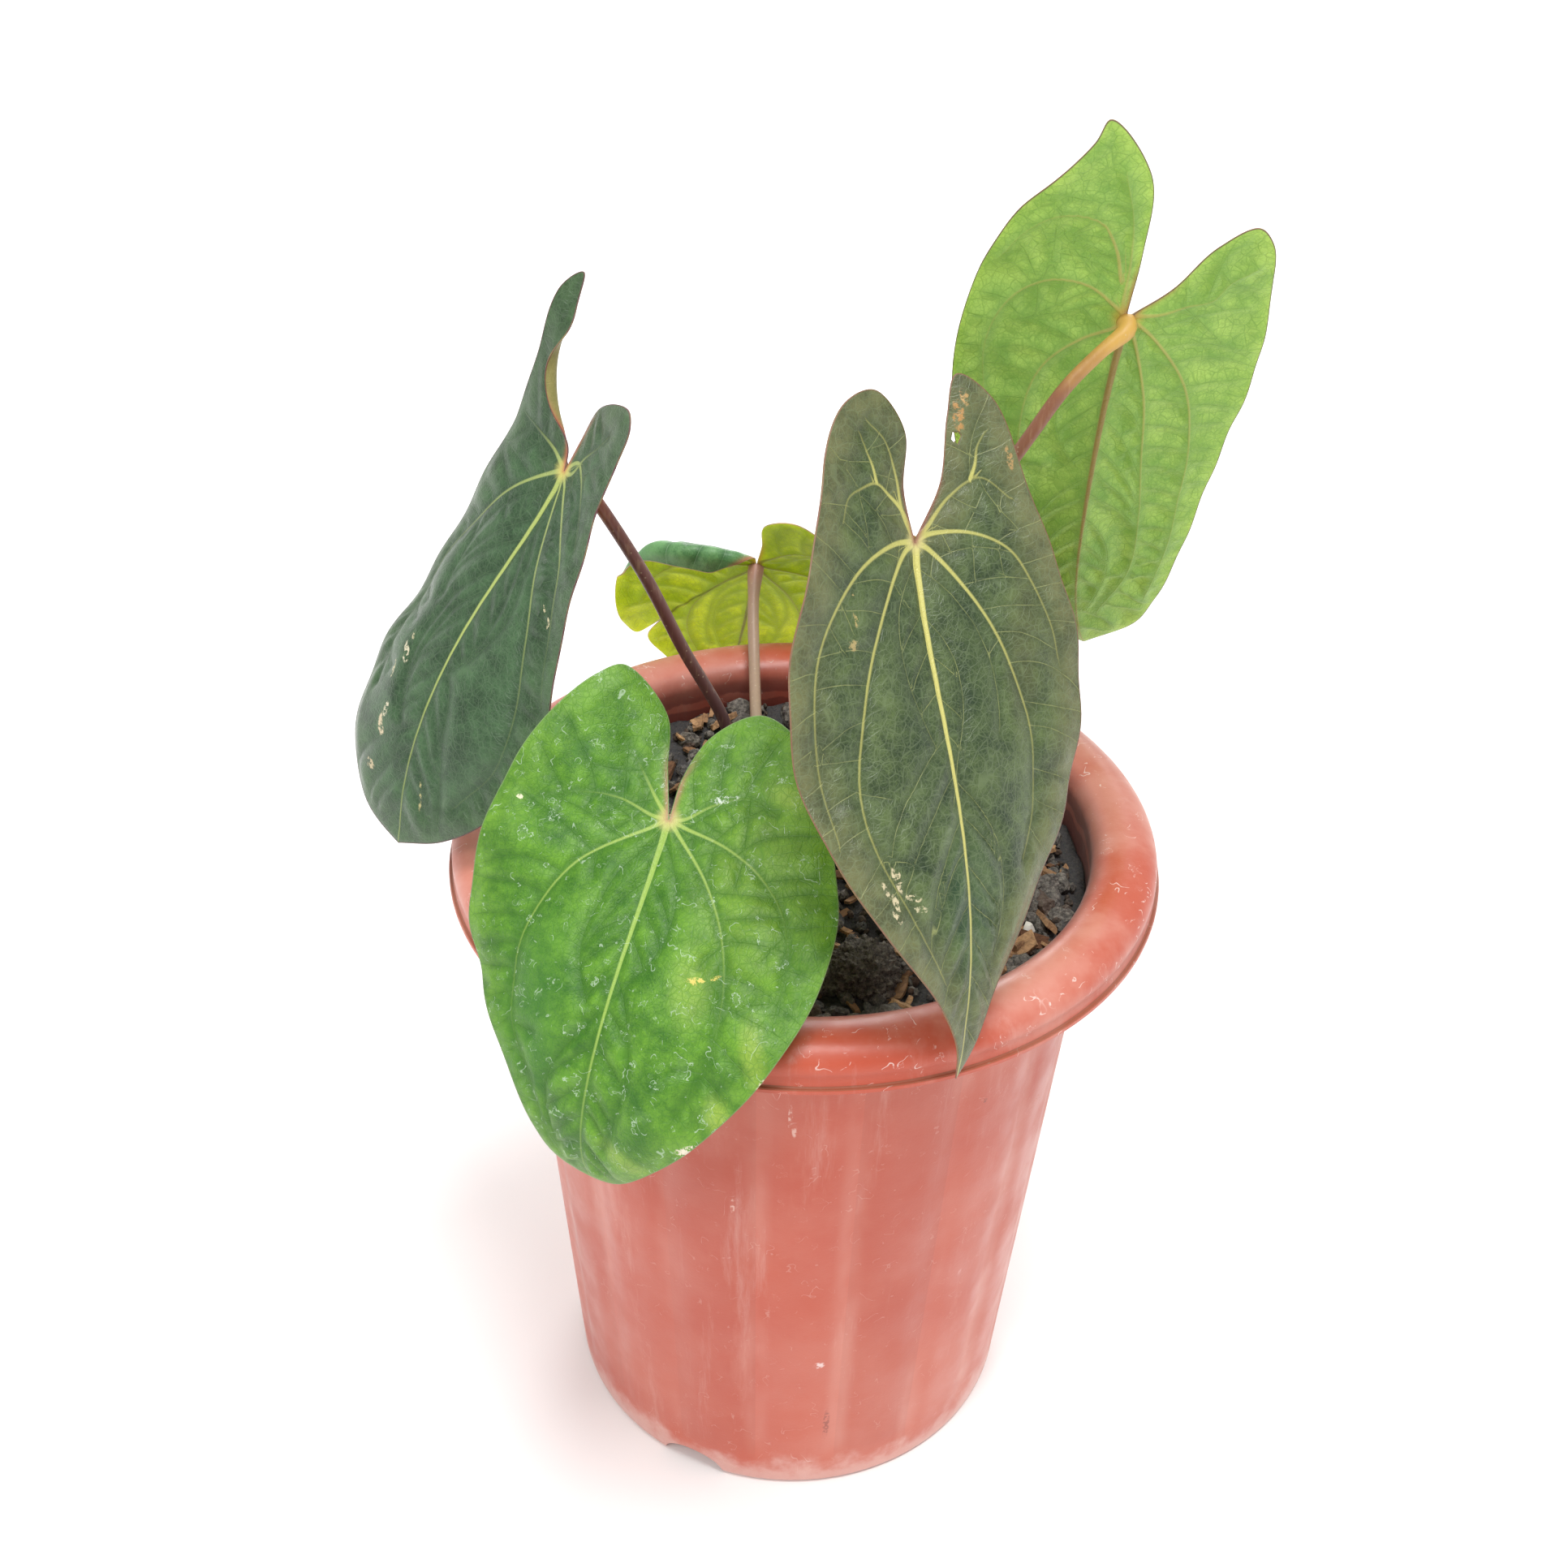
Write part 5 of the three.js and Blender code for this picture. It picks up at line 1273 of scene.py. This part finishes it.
def makePotMaterial():
    look = potLook
    material, tree, shader = newMaterial("terracottaPlastic")
    spot = addNode(tree, "TexCoord")["Object"]
    parts = addNode(tree, "SeparateXYZ", None, {0: spot})
    high = parts[2]
    out = (parts[0] ** 2.0 + parts[1] ** 2.0).calc("SQRT")
    colour = spot.noise(9.0, 4.0).ease(0.35, 0.7).pick(linear(look["base"]), linear(look["pale"]))
    # each flute has its own faint tone, with a pale line where two meet: a painted highlight along the seam, broken
    # up like rubbed wear
    turn, flutes = parts[1].calc("ARCTAN2", parts[0]), potForm["flutes"]
    flute = turn * (flutes / (2 * math.pi)) + (-potForm["fluteTurn"] / 360 * flutes + flutes)
    own = addNode(tree, "TexWhiteNoise", {"noise_dimensions": "1D"}, {"W": flute.calc("FLOOR")})["Value"]
    onWall = high.ease(0.008, 0.02) * high.fade(0.2, 0.206)
    seam = abs(flute.calc("FRACT") - 0.5).ease(0.3, 0.46)
    seamHighlightAndRub = seam * spot.stretched((1, 1, 0.3)).noise(40.0, 3.0).ease(0.4, 0.65)
    # rain streaks, scuffs, a dusty cloud and dried drops, most of them on the rim; on the rim top the cloud is a pale
    # painted sky reflection as well as dust
    streak = spot.stretched((1, 1, 0.2)).noise(55.0, 6.0, 0.65).ease(0.55, 0.78)
    scuffs = useGroup(tree, "scuffs", {"Vector": spot, "Scale": 90.0, "Amount": 0.55})
    dustAndRimReflection = spot.noise(24.0, 5.0, 0.6).ease(0.36, 0.66) * high.ease(0.204, 0.214, 0.12, 0.62)
    lime = useGroup(tree, "limescale", {"Vector": spot, "Drops": 170.0, "Amount": 0.35})["Mask"]
    curls = useGroup(tree, "curls", {"Vector": spot, "Scale": 120.0})["Mask"]
    crust = (lime * 0.7).most(curls)
    wander = (spot.noise(110.0, 4.0) - 0.5) * 0.03
    for mask, key in (
        (own * onWall * 0.3, "deep"),
        # painted highlight where the flutes meet, with rubbing
        (seamHighlightAndRub * onWall * 0.3, "dust"),
        (streak * 0.3, "dust"),
        (scuffs["Scratch"] * 0.45, "lime"),
        (scuffs["Rub"] * 0.18, "lime"),
        # pale dust, stronger on the rim as a painted sky reflection
        (dustAndRimReflection, "dust"),
        (crust * high.ease(0.2, 0.212, 0.16, 0.6), "lime"),
        ((high + wander).fade(0.002, 0.016) * 0.36, "lime"),
    ):
        colour = colour.paint(mask, look[key])
    for place, wide, tall, code in look["marks"]:
        apart = spot.vector("SUBTRACT", tuple(p * mm for p in place))
        far = apart.vector("DIVIDE", (wide * mm, wide * mm, tall * mm)).vector("LENGTH", output="Value")
        torn = spot.noise(620.0, 4.0).ease(0.42, 0.56, 0.05, 1)
        colour = colour.paint(far.fade(0.7, 1.15) * torn * 0.75, code)
    # a darker brown line in the groove over the lip, and a darker inner wall: painted shade that deepens downwards
    # towards the mix, with a lighter waterline band
    groove = abs(high - 0.2105).fade(0.0002, 0.0005) * out.ease(0.1042, 0.1048)
    # painted shade on the inner wall above the mix, stronger lower down
    inner = out.fade(0.0868, 0.0905) * high.ease(0.19, 0.2)
    stain = high + wander * 0.2
    band = stain.ease(0.2075, 0.2085) * stain.fade(0.2105, 0.2115)
    inner = inner * (stain.ease(0.212, 0.221, 0.8, 0.3) - band * 0.35)
    colour = colour.paint(groove * 0.65, look["dirt"]).paint(inner, look["inner"])
    rough = spot.noise(60.0, 4.0).ease(0.3, 0.7, look["rough"] - 0.06, look["rough"] + 0.14)
    height = spot.noise(1200.0, 2.0) * 0.3 + spot.noise(45.0, 2.0)
    fill(shader, {
        "Base Color": colour, "Roughness": rough.most(crust * 0.75), "Normal": height.bump(0.2, 0.0006),
        "Sheen Weight": look["haze"], "Sheen Roughness": 0.5,
    })
    return material


# Potting mix: a bed of fine grit with lava lumps, bark chips and a few pale stones
mixForm = {
    "level": 203.5, "backRise": 4, "unevenness": 1.2, "gap": 0.3, "clump": (17, -54, 9.5),
    "lumps": 640, "chips": 330, "stones": 34, "grit": 620, "reach": 84.6, "seed": 41,
    # across, back and size of pieces seen in the photo
    "seenStones": ((65.5, -32.5, 3.0), (72, -8, 1.6), (48, -62, 1.8)),
    "seenChips": ((66, -38, 9), (71, -27, 11), (74, -3, 10), (73, 8, 8), (60, -45, 8), (38, -66, 9),
                  (-8, -70, 9), (10, -40, 9)),
}


def mixLevel(x, y):
    back = smoothStep(y, 10, 85)
    ripple = np.sin(x * 0.21 + 1.3) * np.cos(y * 0.17) + 0.6 * np.sin(x * 0.4 - y * 0.33)
    return mixForm["level"] + mixForm["backRise"] * back + mixForm["unevenness"] * ripple


def makeMixBed():
    form, gap, floor = mixForm, mixForm["gap"], potForm["floor"]
    flat = math.cos(math.pi / (potForm["flutes"] * 3))  # the solid pot has three flat sides to a flute
    roof = potForm["channelHeight"] + floor + gap
    wallAt = lambda z: (potWall(z) - potForm["wall"]) * flat - gap
    edge = (potForm["rollCentre"] - potForm["rollHalfWidth"]) * flat - gap
    pad = potForm["padRadius"] - floor - gap
    rings = [(pad, floor + gap), (pad + potForm["slope"], roof), (wallAt(roof) - 1.5, roof),
             (wallAt(roof + 4), roof + 4), (wallAt(100), 100), (edge, form["level"] - 6), (edge, form["level"] - 2)]
    rings += [(edge * (1 - i / 60), form["level"] - 1) for i in range(60)]
    bed = turned("mix_bed", 144, (20, floor + gap), rings)
    spots = readVerts(bed) / mm
    crumbs = np.array([noise.fractal(Vector(spot) * 0.35, 0.6, 2.0, 3) for spot in spots])
    onTop = spots[:, 2] > form["level"] - 1.5
    spots[:, 2] = np.where(onTop, mixLevel(spots[:, 0], spots[:, 1]) - 1.2 + 0.9 * crumbs, spots[:, 2])
    writeVerts(bed, spots * mm)
    smooth(bed, makeGritMaterial("mixGrit", "2E2925", "5A4E44"))
    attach(bed, "root")
    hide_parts("potting_mix")


def makeGritMaterial(name, dark, light):
    material, tree, shader = newMaterial(name)
    spot = addNode(tree, "TexCoord")["Object"]
    tint = readMask(tree, "tint")
    grain = spot.noise(650.0, 6.0, 0.7)
    colour = grain.ease(0.35, 0.75).pick(linear(dark), linear(light))
    colour = colour.paint(tint.ease(0.78, 0.95) * 0.6, "5C4233").paint(tint.ease(0.3, 0.0) * 0.45, "5A5C60")
    height = spot.cells(900.0, "SMOOTH_F1")["Distance"] + grain * 1.2
    fill(shader, {"Base Color": colour, "Roughness": 0.92, "Normal": height.bump(0.9, 0.0011)})
    return material


def makeBarkMaterial():
    material, tree, shader = newMaterial("barkChips")
    grain = addNode(tree, "TexCoord")["Object"].noise(420.0, 5.0, 0.65, 1.2)
    colour = readMask(tree, "tint").pick(linear("6E4830"), linear("D2A678"))
    colour = colour.paint(grain.ease(0.4, 0.7, 0, 0.6), "3A241A")
    fill(shader, {"Base Color": colour, "Roughness": 0.85, "Normal": grain.bump(0.8, 0.001)})
    return material


def makeStoneMaterial():
    material, tree, shader = newMaterial("paleStone")
    grain = addNode(tree, "TexCoord")["Object"].noise(500.0)
    fill(shader, {"Base Color": grain.pick(linear("C9C2B6"), linear("EDE9E2")), "Roughness": 0.8})
    return material


def roughen(piece, size, depth, seed):
    shift = Vector((seed * 7.3, seed * 3.1, seed * 5.7))
    spots = [Vector(spot) for spot in readVerts(piece)]
    pushed = [spot * (1 + depth * noise.fractal(spot / size + shift, 0.7, 2.0, 3)) for spot in spots]
    writeVerts(piece, np.array(pushed))


def makeTemplates():
    lumps, chips = [], []
    for i in range(5):
        deselect()
        bpy.ops.mesh.primitive_ico_sphere_add(subdivisions=3 if i < 2 else 2, radius=1)
        lumps.append(placed(bpy.context.object, "lavaLump"))
        roughen(lumps[i], 0.62, 0.42, i + 1)
    for i in range(4):
        deselect()
        bpy.ops.mesh.primitive_cube_add(size=1)
        chip = placed(bpy.context.object, "barkChip")
        editAll(chip)
        bpy.ops.mesh.subdivide(number_cuts=2)
        backToObject()
        spots = readVerts(chip)
        spots[:, 1] *= 0.42 * (1 - 0.5 * np.abs(spots[:, 0]) ** 1.5)
        spots[:, 2] *= 0.2
        spots[:, 2] += 0.12 * spots[:, 0] ** 2 * (1 if i % 2 else -1)
        writeVerts(chip, spots)
        roughen(chip, 0.4, 0.22, i + 11)
        chips.append(chip)
    return lumps, chips


def scatter(name, templates, count, draw, material, sizeOf, turnOf, lift, first=()):
    # copies of the templates over the bed, clear of the wall and the crown; those seen in the photo come first
    edge = mixForm["reach"]
    spots = list(first)
    while len(spots) < count:
        x, y, size = draw.uniform(-edge, edge), draw.uniform(-edge, edge), sizeOf(draw)
        inside = math.hypot(x, y) + size * 0.9 < edge
        if inside and math.hypot(x - crownForm["x"], y - crownForm["y"]) > crownForm["collar"] + size:
            spots.append((x, y, size))
    made = []
    for x, y, size in spots:
        template = templates[draw.randrange(len(templates))]
        copy = template.copy()
        copy.data = template.data.copy()
        bpy.context.scene.collection.objects.link(copy)
        stretch = Vector((draw.uniform(0.8, 1.25), draw.uniform(0.8, 1.2), draw.uniform(0.6, 1.0))) * size
        place = Vector((x, y, float(mixLevel(x, y)) + lift * size)) * mm
        turn = turnOf(draw).to_matrix().to_4x4()
        copy.data.transform(Matrix.Translation(place) @ turn @ Matrix.Diagonal((*(stretch * mm), 1)))
        setMask(copy, "tint", np.full(len(copy.data.vertices), draw.random()))
        made.append(copy)
    loose = placed(joined(made), name)
    loose.data.materials.clear()
    loose.data.materials.append(material)
    choose(loose)
    bpy.ops.object.shade_smooth_by_angle(angle=math.radians(40))
    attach(loose, "root")
    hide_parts("potting_mix")


def makeClump():
    # one big crumbly clump of wet peat by the front rim
    x, y, size = mixForm["clump"]
    deselect()
    bpy.ops.mesh.primitive_ico_sphere_add(subdivisions=6, radius=1)
    clump = placed(bpy.context.object, "peat_clump")
    for grain, depth, seed in ((0.7, 0.2, 3), (0.22, 0.16, 5), (0.09, 0.09, 8)):
        roughen(clump, grain, depth, seed)
    place = (x, y, float(mixLevel(x, y)) + 0.25 * size)
    writeVerts(clump, (readVerts(clump) * (1, 1, 0.8) * size + place) * mm)
    setMask(clump, "tint", np.full(len(clump.data.vertices), 0.5))
    smooth(clump, makeGritMaterial("peat", "48423D", "968D82"))
    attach(clump, "root")
    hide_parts("potting_mix")


def makeMix():
    form = mixForm
    makeMixBed()
    lumps, chips = makeTemplates()
    draw = random.Random(form["seed"])
    anyTurn = lambda d: Euler((d.uniform(0, 6), d.uniform(0, 6), d.uniform(0, 6)))
    lying = lambda d: Euler((d.gauss(0, 0.35), d.gauss(0, 0.35), d.uniform(0, 6)))
    scatter("lava_lumps", lumps, form["lumps"], draw, makeGritMaterial("lavaRock", "54504C", "A29A90"),
            lambda d: 1.4 + 3.6 * d.random() ** 2.2, anyTurn, 0.12)
    makeClump()
    scatter("bark_chips", chips, form["chips"], draw, makeBarkMaterial(),
            lambda d: 4 + 7 * d.random() ** 1.6, lying, 0.18, form["seenChips"])
    scatter("grit", lumps[3:], form["grit"], draw, makeGritMaterial("fineGrit", "3A332E", "7E6C5E"),
            lambda d: 0.7 + 0.8 * d.random(), anyTurn, 0.6)
    scatter("pale_stones", lumps[2:], form["stones"], draw, makeStoneMaterial(),
            lambda d: 0.9 + 1.2 * d.random(), anyTurn, 0.7, form["seenStones"])
    for template in lumps + chips:
        bpy.data.objects.remove(template)
    print("potting mix")


makeSharedEffects()
setUpStudio()
makeLeaves()
for name, leaf in leaves.items():
    makeStalk(name, leaf)
print("stalks")
makeCrown()
makePot()
makeMix()
